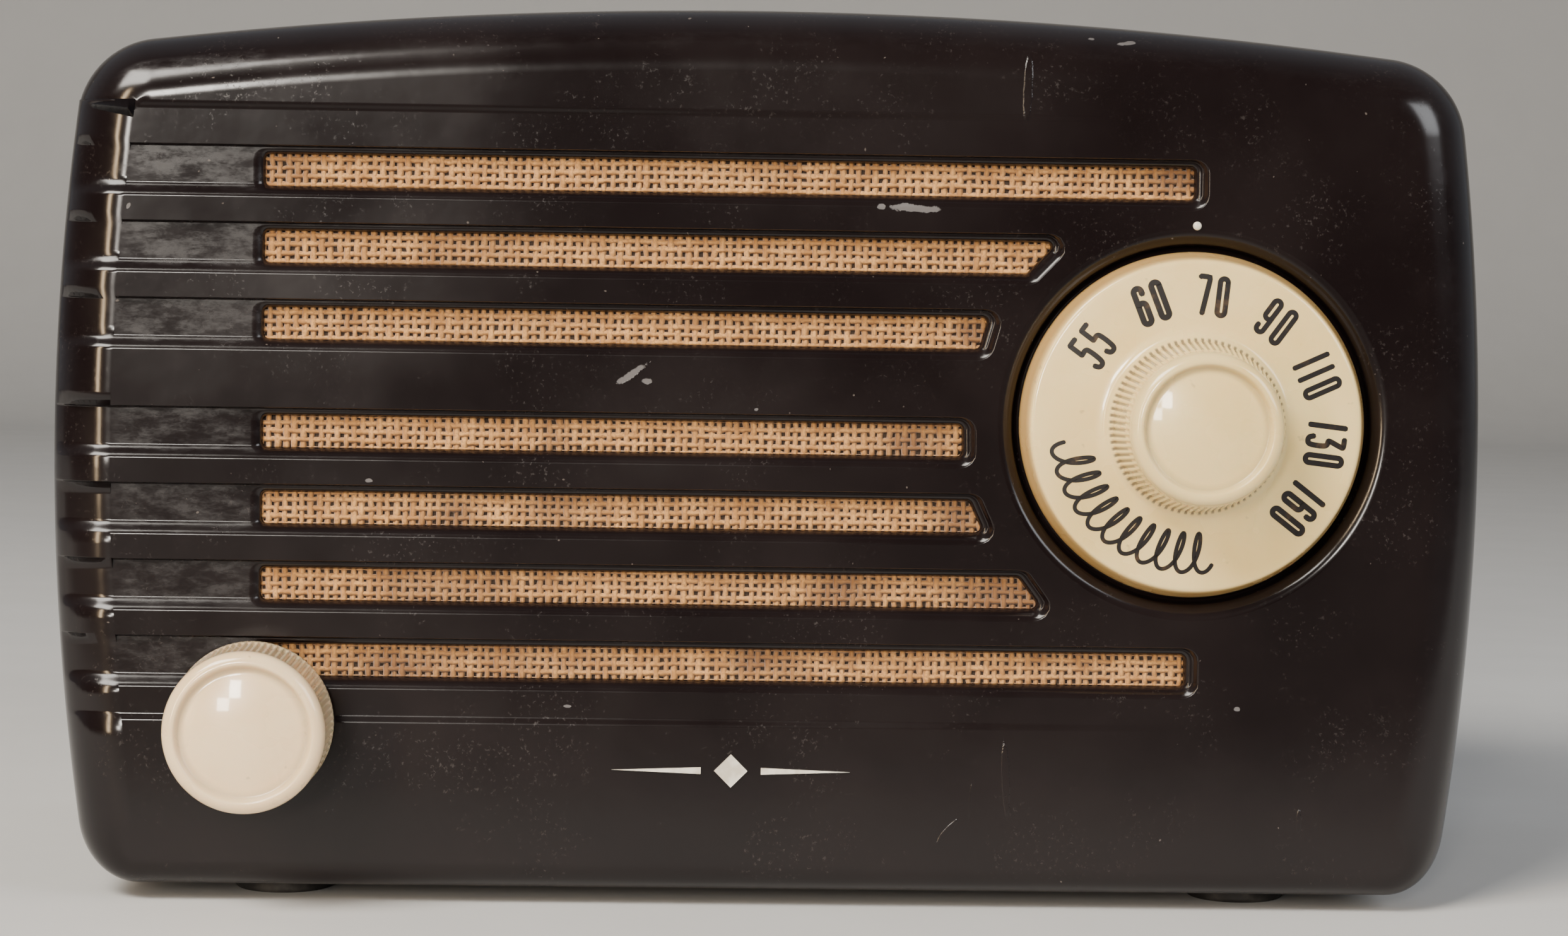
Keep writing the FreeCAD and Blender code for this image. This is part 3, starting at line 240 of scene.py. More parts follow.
def press(x, z):
    """Depth of everything pressed into the front, and its slopes in x and z."""
    fade = 1.0 - smooth((x + 40.0) / 110.0)
    level, rise = band_step(z)
    depth, sx, sz = level * fade, np.zeros(x.shape), rise * fade
    for row in slot_rows:
        distance, gx, gz = nearest(x, z, row_core(-400.0, row))
        level, rise = groove_step(distance, gx, gz)
        depth, sx, sz = depth + level, sx + rise * gx, sz + rise * gz
        distance, gx, gz = nearest(x, z, row_core(slot_left, row))
        wide = by_side(lip_wide, gx, gz)
        t = np.clip(1.0 - distance / wide, 0.0, 0.9997)
        root = np.sqrt(1.0 - t * t)
        depth = depth + lip_deep * (1.0 - root)
        rise = -lip_deep * t / root / wide
        sx, sz = sx + rise * gx, sz + rise * gz
    out = np.hypot(x - dial_x, z - dial_z)
    t = np.clip((seat_radius + seat_roll - out) / seat_roll, 0.0, 0.9997)
    root = np.sqrt(1.0 - t * t)
    rise = -t / root
    out = np.maximum(out, 1e-6)
    return (depth + seat_roll * (1.0 - root),
            sx + rise * (x - dial_x) / out, sz + rise * (z - dial_z) / out)


def contour(core, sizes_from, sizes_to, share):
    """Points round a slot at one share of the way between two sets of distances."""
    points = []
    normals = []
    for (ax, az), (bx, bz) in zip(core, core[1:] + core[:1]):
        normals.append(math.atan2(bx - ax, -(bz - az)))
    for i, (cx, cz) in enumerate(core):
        start, end = normals[i - 1], normals[i]
        while end > start:
            end -= 2 * math.pi
        for k in range(6):
            angle = start + (end - start) * k / 5
            gx, gz = math.cos(angle), math.sin(angle)
            near = float(by_side(sizes_from, gx, gz))
            far = float(by_side(sizes_to, gx, gz))
            reach = slot_corner + near + (far - near) * share
            points.append((cx + gx * reach, cz + gz * reach))
    return points


def spread(points, step, closed):
    """The same line with points added so that no run is longer than the step."""
    pairs = list(zip(points, points[1:] + points[:1])) if closed else list(zip(points, points[1:]))
    line = []
    for (ax, az), (bx, bz) in pairs:
        parts = max(1, math.ceil(math.hypot(bx - ax, bz - az) / step))
        line += [(ax + (bx - ax) * k / parts, az + (bz - az) * k / parts) for k in range(parts)]
    return line if closed else line + [points[-1]]


def flank_edge(z, inset):
    return -(flank_x + math.sqrt((flank_radius - inset) ** 2 - (z - flank_z) ** 2))


nothing = {"up": 0.0, "down": 0.0, "left": 0.0, "right": 0.0}
lip_shares = [1.0 - math.sin(math.radians(a)) for a in (90, 80, 69, 57, 45, 32, 19, 6)] + [1.0]
groove_shares = [0.0, 0.1, 0.22, 0.36, 0.5, 0.64, 0.78, 0.9, 1.0]
lines = []
levels = set()
for row in slot_rows:
    for share in lip_shares:
        lines.append((spread(contour(row_core(slot_left, row), nothing, lip_wide, share), 5.0, True), True))
    for share in groove_shares:
        loop = contour(row_core(-400.0, row), groove_from, groove_to, share)[6:18]
        top_z, low_z = loop[0][1], loop[-1][1]
        ends = [(flank_edge(top_z, edge_round), top_z)], [(flank_edge(low_z, edge_round), low_z)]
        lines.append((spread(ends[0] + loop + ends[1], 5.0, False), False))
        levels.update((top_z, low_z))
for crease in (band_low, band_high):
    for share in (-0.5, -0.3, -0.15, 0.0, 0.15, 0.3, 0.5):
        z = crease + share * band_crease
        lines.append((spread([(flank_edge(z, edge_round), z), (78.0, z)], 5.0, False), False))
        levels.add(z)

# the outline, clockwise from the bottom middle: outer point, outward direction, how firmly
# a point keeps its own height on the way round the front edge, and that edge's radius
span = math.hypot(flank_x, flank_z - arch_z)
ex, ez = -flank_x / span, (arch_z - flank_z) / span
reach_flank, reach_arch = flank_radius - upper_round, arch_radius - upper_round
along = (reach_flank ** 2 - reach_arch ** 2 + span ** 2) / (2 * span)
across = math.sqrt(reach_flank ** 2 - along ** 2)
top_x, top_z = flank_x + ex * along - ez * across, flank_z + ez * along + ex * across
low_z = foot_line + lower_round
low_x = flank_x + math.sqrt((flank_radius - lower_round) ** 2 - (low_z - flank_z) ** 2)
arch_turn = math.atan2(top_z - arch_z, top_x)
upper_turn = math.atan2(top_z - flank_z, top_x - flank_x)
lower_turn = math.atan2(low_z - flank_z, low_x - flank_x)
upper_z = top_z + upper_round * math.sin(upper_turn)
lower_z = low_z + lower_round * math.sin(lower_turn)

stations = []
for x in np.linspace(0.0, -low_x, 24):
    stations.append((x, foot_line, 0.0, -1.0, 0.0, edge_round_low))
for k in range(1, 16):
    turn = -math.pi / 2 + (lower_turn + math.pi / 2) * k / 16
    nx, nz = -math.cos(turn), math.sin(turn)
    radius = edge_round_low + (edge_round - edge_round_low) * float(smooth(k / 16))
    stations.append((-low_x + lower_round * nx, low_z + lower_round * nz, nx, nz, 0.0, radius))
lowest, highest = min(levels), max(levels)
heights = set(levels)
heights.update(np.linspace(lower_z, lowest, 6)[:-1])
heights.update(np.linspace(highest, upper_z, 4)[1:])
ordered = sorted(levels)
for a, b in zip(ordered, ordered[1:]):
    parts = math.ceil((b - a) / 2.5)
    heights.update(a + (b - a) * k / parts for k in range(1, parts))
for z in sorted(heights):
    x = flank_edge(z, 0.0)
    hold = float(smooth((z - lower_z) / (lowest - lower_z)) * smooth((upper_z - z) / (upper_z - highest)))
    stations.append((x, z, (x + flank_x) / flank_radius, (z - flank_z) / flank_radius, hold, edge_round))
for k in range(1, 18):
    turn = upper_turn + (arch_turn - upper_turn) * k / 18
    nx, nz = -math.cos(turn), math.sin(turn)
    stations.append((-top_x + upper_round * nx, top_z + upper_round * nz, nx, nz, 0.0, edge_round))
for turn in np.linspace(math.pi - arch_turn, arch_turn, 60):
    nx, nz = math.cos(turn), math.sin(turn)
    stations.append((arch_radius * nx, arch_z + arch_radius * nz, nx, nz, 0.0, edge_round))
for k in range(1, 18):
    turn = arch_turn + (upper_turn - arch_turn) * k / 18
    nx, nz = math.cos(turn), math.sin(turn)
    stations.append((top_x + upper_round * nx, top_z + upper_round * nz, nx, nz, 0.0, edge_round))
for z in np.linspace(upper_z, lower_z, 44):
    x = -flank_edge(z, 0.0)
    stations.append((x, z, (x - flank_x) / flank_radius, (z - flank_z) / flank_radius, 0.0, edge_round))
for k in range(1, 16):
    turn = lower_turn + (-math.pi / 2 - lower_turn) * k / 16
    nx, nz = math.cos(turn), math.sin(turn)
    radius = edge_round + (edge_round_low - edge_round) * float(smooth(k / 16))
    stations.append((low_x + lower_round * nx, low_z + lower_round * nz, nx, nz, 0.0, radius))
for x in np.linspace(low_x, 0.0, 24)[:-1]:
    stations.append((x, foot_line, 0.0, -1.0, 0.0, edge_round_low))
stations = np.array(stations)
sx, sz, snx, snz, shold, sround = stations.T


def wrapped_point(inset):
    """Every station's point on the outline set in by the given distance."""
    x, z = sx - snx * inset, sz - snz * inset
    kept = z + shold * (sz - z)
    held = -(flank_x + np.sqrt(np.maximum((flank_radius - inset) ** 2 - (kept - flank_z) ** 2, 0.0)))
    return np.where(shold > 0, held, x), np.where(shold > 0, kept, z)


edge_x, edge_z = wrapped_point(sround)
rim = [(float(x), float(z)) for x, z in zip(edge_x, edge_z)]
seat_lines = []
for share in (0.0, 0.012, 0.05, 0.12, 0.21, 0.32, 0.45, 0.6, 0.78, 1.0):
    out = seat_radius + seat_roll * share
    seat_lines.append([(dial_x + out * math.cos(2 * math.pi * k / seat_parts),
                        dial_z + out * math.sin(2 * math.pi * k / seat_parts)) for k in range(seat_parts)])
lines += [(loop, True) for loop in seat_lines]
loose = [(float(x), float(z)) for x in np.arange(-96, 100, 7.0) for z in list(np.arange(7.0, 26.0, 4.5))
         + [78.75, 122.5, 125.5]]
loose += [(float(x), float(z)) for x in np.arange(36, 100, 6.0) for z in np.arange(30.0, 118.0, 6.0)]

points, edges = list(rim), [(i, (i + 1) % len(rim)) for i in range(len(rim))]
for line, closed in lines:
    if line is seat_lines[0]:
        seat_start = len(points)
    base = len(points)
    points += line
    edges += [(base + i, base + i + 1) for i in range(len(line) - 1)]
    if closed:
        edges.append((base + len(line) - 1, base))
points += loose
flat, _, triangles, origin, _, _ = geometry.delaunay_2d_cdt(
    [Vector(p) for p in points], edges, [], 0, 1e-5)
flat = np.array([tuple(p) for p in flat])
became = np.full(len(points), -1)
for i, sources in enumerate(origin):
    became[list(sources)] = i
depth, slope_x, slope_z = press(flat[:, 0], flat[:, 1])
middle = flat[np.array(triangles)].mean(axis=1)
keep = np.hypot(middle[:, 0] - dial_x, middle[:, 1] - dial_z) > seat_radius
for row in slot_rows:
    keep &= nearest(middle[:, 0], middle[:, 1], row_core(slot_left, row))[0] > 0
ring = np.array(rim)
nxt = np.roll(ring, -1, axis=0)
crossing = np.zeros(len(middle), int)
for (ax, az), (bx, bz) in zip(ring, nxt):
    spans = (az > middle[:, 1]) != (bz > middle[:, 1])
    if spans.any():
        at_x = ax + (middle[:, 1] - az) * (bx - ax) / (bz - az + 1e-15)
        crossing += spans & (middle[:, 0] < at_x)
keep &= crossing % 2 == 1
face_normal = np.stack([slope_x, -np.ones(len(flat)), slope_z], axis=1)
face_normal /= np.linalg.norm(face_normal, axis=1)[:, None]
shell_points = [np.stack([flat[:, 0], front + depth, flat[:, 1]], axis=1)]
shell_normals = [face_normal]
shell_faces = [list(t) for t, k in zip(triangles, keep) if k]

# the rounded front edge and the long wrap behind it, one column per station
turns = [math.pi / 2 * k / 14 for k in range(1, 15)]
backs = [11.0, 20.0, 35.0, 60.0, 85.0, rear - front]
left_side = np.where(snx < -0.2, 1.0, 0.0)
columns = [became[:len(rim)]]
base = len(flat)
for turn, back in [(t, None) for t in turns] + [(math.pi / 2, b) for b in backs]:
    x, z = wrapped_point(sround * (1.0 - math.sin(turn)))
    y = front + sround * (1.0 - math.cos(turn)) if back is None else np.full(len(x), front + back)
    fade = 1.0 - smooth((y - front - groove_wrap) / groove_fade)
    dip = np.clip((y - front - groove_wrap) / groove_fade, 0.0, 1.0)
    fade_slope = -6.0 * dip * (1.0 - dip) / groove_fade
    level, rise = band_step(z)
    for row in slot_rows:
        distance = np.abs(z - row[0]) - slot_half
        gz = np.sign(z - row[0])
        step, slope = groove_step(distance, np.zeros(len(z)), gz)
        level, rise = level + step, rise + slope * gz
    level, rise = level * left_side, rise * left_side
    out = np.stack([snx * math.sin(turn), np.full(len(x), -math.cos(turn)), snz * math.sin(turn)], axis=1)
    back_way = np.stack([snx * math.cos(turn), np.full(len(x), math.sin(turn)), snz * math.cos(turn)],
                        axis=1)
    here = np.stack([x, y, z], axis=1) - out * (level * fade)[:, None]
    lean = (out + np.array([0.0, 0.0, 1.0]) * (rise * fade)[:, None]
            + back_way * (level * fade_slope)[:, None])
    lean /= np.linalg.norm(lean, axis=1)[:, None]
    shell_points.append(here)
    shell_normals.append(lean)
    columns.append(base + np.arange(len(x)))
    base += len(x)
for near, far in zip(columns, columns[1:]):
    for i in range(len(near)):
        j = (i + 1) % len(near)
        shell_faces.append([int(near[i]), int(near[j]), int(far[j]), int(far[i])])

# the seat behind the dial: a short wall, a rounded foot and a floor with the shaft hole
seat_edge = np.array(seat_lines[0])
circle = became[seat_start:seat_start + len(seat_edge)]
foot = 0.8
steps = [(seat_radius, seat_floor - foot, -1.0, 0.0)]
steps += [(seat_radius - foot + foot * math.cos(a), seat_floor - foot + foot * math.sin(a),
           -math.cos(a), -math.sin(a)) for a in [math.pi / 2 * k / 5 for k in range(1, 6)]]
steps.append((shaft_hole, seat_floor, 0.0, -1.0))
ways = (seat_edge - np.array([dial_x, dial_z])) / seat_radius
for radius, deep, nr, ny in steps:
    shell_points.append(np.stack([dial_x + ways[:, 0] * radius, np.full(seat_parts, front + deep),
                                  dial_z + ways[:, 1] * radius], axis=1))
    shell_normals.append(np.stack([ways[:, 0] * nr, np.full(seat_parts, ny), ways[:, 1] * nr], axis=1))
    ring_now = base + np.arange(seat_parts)
    base += seat_parts
    for i in range(seat_parts):
        j = (i + 1) % seat_parts
        shell_faces.append([int(circle[i]), int(circle[j]), int(ring_now[j]), int(ring_now[i])])
    circle = ring_now

# the flange turned in at the back, that the back cover is screwed to
flange = []
for inset, y in ((1.0, rear - 6.0), (8.0, rear - 6.0), (8.0, rear - 5.0), (1.0, rear - 5.0)):
    flange.append(np.stack([sx - snx * inset, np.full(len(sx), y), sz - snz * inset], axis=1))
count = len(sx)
flange_faces, flange_points, flange_normals = [], [], []
for a, b, way in ((0, 1, (0, -1, 0)), (1, 2, None), (2, 3, (0, 1, 0)), (3, 0, None)):
    start = len(flange_points) * count
    flange_points += [flange[a], flange[b]]
    if way is None:
        side = np.stack([snx, np.zeros(count), snz], axis=1) * (-1.0 if a == 1 else 1.0)
    else:
        side = np.tile(np.array(way, float), (count, 1))
    flange_normals += [side, side]
    for i in range(count):
        j = (i + 1) % count
        flange_faces.append([start + i, start + j, start + count + j, start + count + i])
flange_body = (np.concatenate(flange_points), np.concatenate(flange_normals), flange_faces)

shell_points, shell_normals = np.concatenate(shell_points), np.concatenate(shell_normals)
used = sorted({i for face in shell_faces for i in face})
renumber = {old: new for new, old in enumerate(used)}
shell_faces = [[renumber[i] for i in face] for face in shell_faces]
cabinet = piece_of_sheet("cabinet_wrap", shell_points[used], shell_normals[used], shell_faces,
                         enamelled_sheet, [flange_body])
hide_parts("cabinet_shell")
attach(cabinet, "root")


class Finish:
    """A node material under construction: each call adds one node and links its inputs."""

    def __init__(self, name):
        self.material = bpy.data.materials.new(name)
        self.material.use_nodes = True
        self.tree = self.material.node_tree
        self.shader = self.tree.nodes["Principled BSDF"]
        self.place = self.node("ShaderNodeTexCoord").outputs["Object"]

    def node(self, kind, links=None, **settings):
        made = self.tree.nodes.new(kind)
        for key, value in settings.items():
            setattr(made, key, value)
        for key, value in (links or {}).items():
            if isinstance(value, bpy.types.NodeSocket):
                self.tree.links.new(value, made.inputs[key])
            else:
                made.inputs[key].default_value = value
        return made

    def noise(self, scale, detail=3.0, rough=0.55, stretch=None, at=None):
        where = at or self.place
        if stretch:
            where = self.node("ShaderNodeMapping", {"Vector": where, "Scale": stretch}).outputs[0]
        return self.node("ShaderNodeTexNoise", {"Vector": where, "Scale": scale, "Detail": detail,
                                                "Roughness": rough}).outputs[0]

    def ramp(self, value, low, high, out_low=0.0, out_high=1.0):
        return self.node("ShaderNodeMapRange", {"Value": value, "From Min": low, "From Max": high,
                                                "To Min": out_low, "To Max": out_high},
                         interpolation_type="SMOOTHSTEP").outputs[0]

    def maths(self, kind, a, b=0.5, c=0.5):
        return self.node("ShaderNodeMath", {0: a, 1: b, 2: c}, operation=kind).outputs[0]

    def times(self, a, b):
        return self.maths("MULTIPLY", a, b)

    def plus(self, a, b):
        return self.maths("ADD", a, b)

    def minus(self, a, b):
        return self.maths("SUBTRACT", a, b)

    def larger(self, a, b):
        return self.maths("MAXIMUM", a, b)

    def blend(self, share, a, b):
        made = self.node("ShaderNodeMix", data_type="RGBA")
        for socket, value in ((made.inputs[0], share), (made.inputs[6], a), (made.inputs[7], b)):
            if isinstance(value, bpy.types.NodeSocket):
                self.tree.links.new(value, socket)
            else:
                socket.default_value = value
        return made.outputs[2]

    def bump(self, height, distance, strength=1.0, after=None):
        links = {"Height": height, "Distance": distance, "Strength": strength}
        if after:
            links["Normal"] = after
        return self.node("ShaderNodeBump", links).outputs[0]

    def set(self, **sockets):
        for key, value in sockets.items():
            key = key.replace("_", " ")
            if isinstance(value, bpy.types.NodeSocket):
                self.tree.links.new(value, self.shader.inputs[key])
            else:
                self.shader.inputs[key].default_value = value
        return self.material


enamel = Finish("brown_stove_enamel")
where = enamel.node("ShaderNodeSeparateXYZ", {0: enamel.place}).outputs
ragged = enamel.times(enamel.minus(enamel.noise(420.0, 4.0, 0.65), 0.5), 2.4)


def worn(x, z, wide, tall, turn, ragged_share=1.0):
    """A ragged patch on the front of the cabinet, sizes in millimetres."""
    c, s = math.cos(math.radians(turn)), math.sin(math.radians(turn))
    dx, dz = enamel.minus(where[0], x / 1000), enamel.minus(where[2], z / 1000)
    along = enamel.plus(enamel.times(dx, 2000 * c / wide), enamel.times(dz, 2000 * s / wide))
    across = enamel.plus(enamel.times(dx, -2000 * s / tall), enamel.times(dz, 2000 * c / tall))
    far = enamel.maths("SQRT", enamel.plus(enamel.times(along, along), enamel.times(across, across)))
    return enamel.ramp(enamel.maths("MULTIPLY_ADD", ragged, ragged_share, far), 0.85, 1.1, 1.0, 0.0)


def any_of(patches):
    """The patches together, kept to the front face of the cabinet."""
    seen = patches[0]
    for patch in patches[1:]:
        seen = enamel.larger(seen, patch)
    return enamel.times(seen, enamel.ramp(where[1], -0.044, -0.040, 1.0, 0.0))


chips = any_of([worn(*patch) for patch in (
    (20.9, 105.4, 6.2, 1.1, -3), (15.8, 105.6, 1.0, 0.7, 0), (-21.2, 80.0, 5.0, 1.0, 35),
    (-18.6, 79.0, 1.4, 0.8, 0), (52.4, 130.6, 3.0, 0.6, 8), (47.0, 131.2, 1.2, 0.5, 0),
    (-60.0, 63.6, 0.9, 0.5, 0), (-2.4, 75.0, 0.8, 0.6, 20),
    (70.5, 31.0, 1.0, 0.7, 0), (-96.0, 104.0, 1.0, 0.5, 60), (-30.0, 30.2, 1.1, 0.4, 0))])
runs = any_of([worn(*patch, 0.35) for patch in (
    (37.4, 123.6, 10.0, 1.3, 88), (35.9, 20.0, 11.5, 1.1, 93), (27.2, 12.0, 4.4, 0.9, 50),
    (80.2, 14.2, 3.8, 0.7, 88), (30.6, 16.6, 5.0, 0.4, 86))])
cloud = enamel.noise(28.0, 4.0)
dust = enamel.times(enamel.ramp(enamel.noise(1500.0, 3.0, 0.7), 0.56, 0.74),
                    enamel.ramp(enamel.noise(70.0, 4.0, 0.6), 0.42, 0.72))
specks = enamel.ramp(enamel.noise(950.0, 1.0), 0.79, 0.83)
grooves = enamel.times(enamel.ramp(where[1], -0.0457, -0.0452),
                       enamel.ramp(where[1], -0.0444, -0.0440, 1.0, 0.0))
grooves = enamel.times(grooves, enamel.times(enamel.ramp(where[0], -0.101, -0.094),
                                             enamel.ramp(where[0], -0.078, -0.074, 1.0, 0.25)))
settled = enamel.times(grooves, enamel.ramp(enamel.noise(520.0, 5.0, 0.75, stretch=(0.4, 1.0, 1.0)),
                                            0.35, 0.85))
brown = enamel.blend(enamel.ramp(cloud, 0.35, 0.7), (0.0070, 0.0044, 0.0046, 1),
                     (0.0105, 0.0068, 0.0068, 1))
brown = enamel.blend(enamel.times(dust, 0.16), brown, (0.16, 0.13, 0.12, 1))
brown = enamel.blend(enamel.times(settled, 0.085), brown, (0.13, 0.12, 0.125, 1))
brown = enamel.blend(enamel.times(specks, 0.45), brown, (0.20, 0.17, 0.15, 1))
brown = enamel.blend(enamel.times(chips, 0.8), brown, (0.15, 0.14, 0.14, 1))
matt = enamel.larger(enamel.times(chips, 0.4), enamel.times(enamel.larger(dust, settled), 0.25))
peel = enamel.bump(enamel.noise(190.0, 2.0, 0.5), 0.00006, 0.35)
raised = enamel.bump(runs, 0.00012, 0.6, peel)
sunk = enamel.bump(enamel.minus(1.0, chips), 0.00008, 0.7, raised)
enamel.set(Base_Color=brown, Roughness=enamel.plus(matt, enamel.ramp(cloud, 0.3, 0.75, 0.13, 0.22)),
           Normal=sunk, Specular_IOR_Level=0.42)
cabinet.data.materials.append(enamel.material)


# ---------------------------------------------------------------- grille cloth and baffle
# A coarse plain-weave cloth of tan cotton yarn is stretched over a dark fibre board and
# glued at its edges. The yarns are slubby and have brown stains. A dark sheet just behind
# the yarns fills the gaps of the weave with dark squares: the board's colour and painted shade.

def tube_mesh(name, paths, across, thick, sides):
    """Many flattened yarns in one mesh. A path is (points, sideways, facing, width), in mm."""
    verts, faces = [], []
    start = 0
    ways = [2 * math.pi * k / sides for k in range(sides)]
    for points, sideways, facing, width in paths:
        count = len(points)
        for angle in ways:
            verts.append(points + sideways * (across * math.cos(angle)) * width[:, None]
                         + facing * (thick * math.sin(angle)))
        grid = start + np.arange(sides)[:, None] * count + np.arange(count)[None, :]
        turned = np.roll(grid, -1, axis=0)
        faces.append(np.stack([grid[:, :-1], turned[:, :-1], turned[:, 1:], grid[:, 1:]],
                              axis=-1).reshape(-1, 4))
        faces.append(np.concatenate([grid[:, :1].T, grid[::-1, -1:].T]))
        start += sides * count
    return meshed(name, (np.concatenate(verts) * 0.001).tolist(),
                  [f.tolist() for part in faces for f in part], True)


cloth_low, cloth_high = box_mm("grille_cloth")
yarn_pitch = 1.27
yarn_half, yarn_lift, yarn_thick = 0.45, 0.12, 0.17
cloth_y = cloth_low[1] + yarn_lift + yarn_thick + 0.01
around_dial = seat_radius + 1.0 + 1.2
chance = np.random.default_rng(7)


def clear_of_dial(x, z):
    return np.hypot(x - dial_x, z - dial_z) > around_dial


def runs_of(mask):
    """Start and end of each unbroken stretch in a line of true and false."""
    padded = np.concatenate([[False], mask, [False]]).astype(int)
    step = np.diff(padded)
    return list(zip(np.where(step == 1)[0], np.where(step == -1)[0]))


def yarns(upright):
    """Yarns one way of the cloth, passing over and under the others in turn."""
    made = []
    if upright:
        ends, lanes = (cloth_low[2] + 0.3, cloth_high[2] - 0.3), (cloth_low[0] + 0.6, cloth_high[0] - 0.6)
    else:
        ends, lanes = (cloth_low[0] + 0.3, cloth_high[0] - 0.3), (cloth_low[2] + 0.6, cloth_high[2] - 0.6)
    for number, lane in enumerate(np.arange(lanes[0], lanes[1], yarn_pitch)):
        along = np.arange(ends[0], ends[1], yarn_pitch / 2)
        wander = 0.10 * np.sin(along * (0.11 + 0.05 * chance.random()) + 6.3 * chance.random())
        wander += 0.04 * chance.standard_normal(len(along))
        swell = 1.0 + 0.14 * np.sin(along * 0.35 + 6.3 * chance.random())
        swell = swell + 0.07 * chance.standard_normal(len(along))
        over = np.cos(math.pi * (along - ends[0]) / yarn_pitch + math.pi * (number % 2))
        over = over if upright else -over
        side = lane + wander
        x, z = (side, along) if upright else (along, side)
        for first, last in runs_of(clear_of_dial(x, z)):
            if last - first < 4:
                continue
            part = slice(first, last)
            points = np.stack([x[part], cloth_y - yarn_lift * over[part], z[part]], axis=1)
            sideways = np.tile([1.0, 0, 0] if upright else [0, 0, 1.0], (last - first, 1))
            facing = np.tile([0, -1.0, 0], (last - first, 1))
            made.append((points, sideways, facing, swell[part]))
    return made


warp = tube_mesh("grille_warp_yarns", yarns(True), yarn_half * 1.02, yarn_thick, 4)
weft = tube_mesh("grille_weft_yarns", yarns(False), yarn_half * 0.9, yarn_thick, 4)


def flat_plate(name, low, high, cut_radius, cut_x, cut_z):
    """Thin upright plate with a bite taken out of its right side by a circle (mm)."""
    first = math.acos((high[0] - cut_x) / cut_radius) if high[0] - cut_x < cut_radius else 0.0
    turns_left = np.linspace(2 * math.pi - first, first, 60)
    corners = [(low[0], low[2]), (high[0], low[2])]
    bite = [(cut_x + cut_radius * math.cos(a), cut_z + cut_radius * math.sin(a)) for a in turns_left]
    loop = corners + bite + [(high[0], high[2]), (low[0], high[2])]
    verts = [(x, y, z) for y in (low[1], high[1]) for x, z in loop]
    count = len(loop)
    tris = geometry.tessellate_polygon([[Vector((x, z, 0)) for x, z in loop]])
    faces = [tuple(t) for t in tris] + [tuple(i + count for i in t[::-1]) for t in tris]
    faces += [(i, (i + 1) % count, (i + 1) % count + count, i + count) for i in range(count)]
    return meshed(name, [tuple(c * 0.001 for c in v) for v in verts], faces)


# A dark sheet just behind the yarns: painted shade in the gaps of the weave, over the dark board's own
# colour.
gap_shade_sheet = flat_plate("grille_gap_shade_sheet", (cloth_low[0], cloth_high[1] - 0.08, cloth_low[2]),
                    (cloth_high[0], cloth_high[1] - 0.02, cloth_high[2]), around_dial, dial_x, dial_z)
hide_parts("grille_cloth")
for yarn in (warp, weft, gap_shade_sheet):
    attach(yarn, "root")

cotton = Finish("tan_cotton_yarn")
strand = cotton.noise(2600.0, 3.0, 0.7)
slub = cotton.noise(420.0, 3.0)
patch = cotton.noise(38.0, 5.0, 0.6)
spots = cotton.noise(120.0, 3.0, 0.6)
tan = cotton.blend(cotton.ramp(slub, 0.3, 0.7), (0.44, 0.205, 0.058, 1), (0.76, 0.40, 0.135, 1))
tan = cotton.blend(cotton.ramp(strand, 0.25, 0.6), (0.37, 0.17, 0.055, 1), tan)
where = cotton.node("ShaderNodeSeparateXYZ", {0: cotton.place}).outputs
stain = cotton.ramp(cotton.plus(patch, cotton.times(spots, 0.35)), 0.68, 0.86, 0.0, 0.65)


def blot(x, z, wide, tall):
    """A soft round stain, 1 at its middle and 0 outside."""
    dx = cotton.times(cotton.minus(where[0], x), 1.0 / wide)
    dz = cotton.times(cotton.minus(where[2], z), 1.0 / tall)
    far = cotton.maths("SQRT", cotton.plus(cotton.times(dx, dx), cotton.times(dz, dz)))
    ragged = cotton.plus(far, cotton.times(spots, 0.9))
    return cotton.ramp(ragged, 0.55, 1.45, 1.0, 0.0)


for x, z, wide, tall in (
        (0.021, 0.0697, 0.008, 0.005), (0.036, 0.047, 0.016, 0.006), (-0.002, 0.0372, 0.006, 0.004),
        (0.011, 0.047, 0.009, 0.005), (-0.047, 0.0585, 0.005, 0.004), (-0.055, 0.0354, 0.014, 0.005),
        (0.060, 0.1105, 0.006, 0.004), (0.028, 0.0585, 0.006, 0.005), (0.030, 0.0866, 0.005, 0.004)):
    stain = cotton.larger(stain, blot(x, z, wide, tall))
tan = cotton.blend(cotton.times(stain, 0.78), tan, (0.17, 0.075, 0.032, 1))
cotton.set(Base_Color=tan, Roughness=0.9, Sheen_Weight=0.25, Sheen_Roughness=0.5,
           Normal=cotton.bump(strand, 0.00008, 0.8))
for yarn in (warp, weft):
    yarn.data.materials.append(cotton.material)

# Its colour is the dark board's, with painted shade of the gaps of the weave.
gap_shade_finish = Finish("dark_board_and_gap_shade")
gap_shade_finish.set(Base_Color=gap_shade_finish.blend(gap_shade_finish.noise(160.0), (0.020, 0.012, 0.008, 1),
                                           (0.055, 0.033, 0.020, 1)),
               Roughness=0.85, Normal=gap_shade_finish.bump(gap_shade_finish.noise(900.0), 0.0001, 0.5))
gap_shade_sheet.data.materials.append(gap_shade_finish.material)


# ---------------------------------------------------------------- tuning dial and knob
# The dial plate and its knob are one moulding in ivory plastic, pushed on the tuning
# shaft. The knob has a fine ribbed skirt, a rolled rim and a domed face; the numbers and
# the row of loops are printed in dark brown ink, worn in places.

rib_count, rib_deep = 80, 0.35


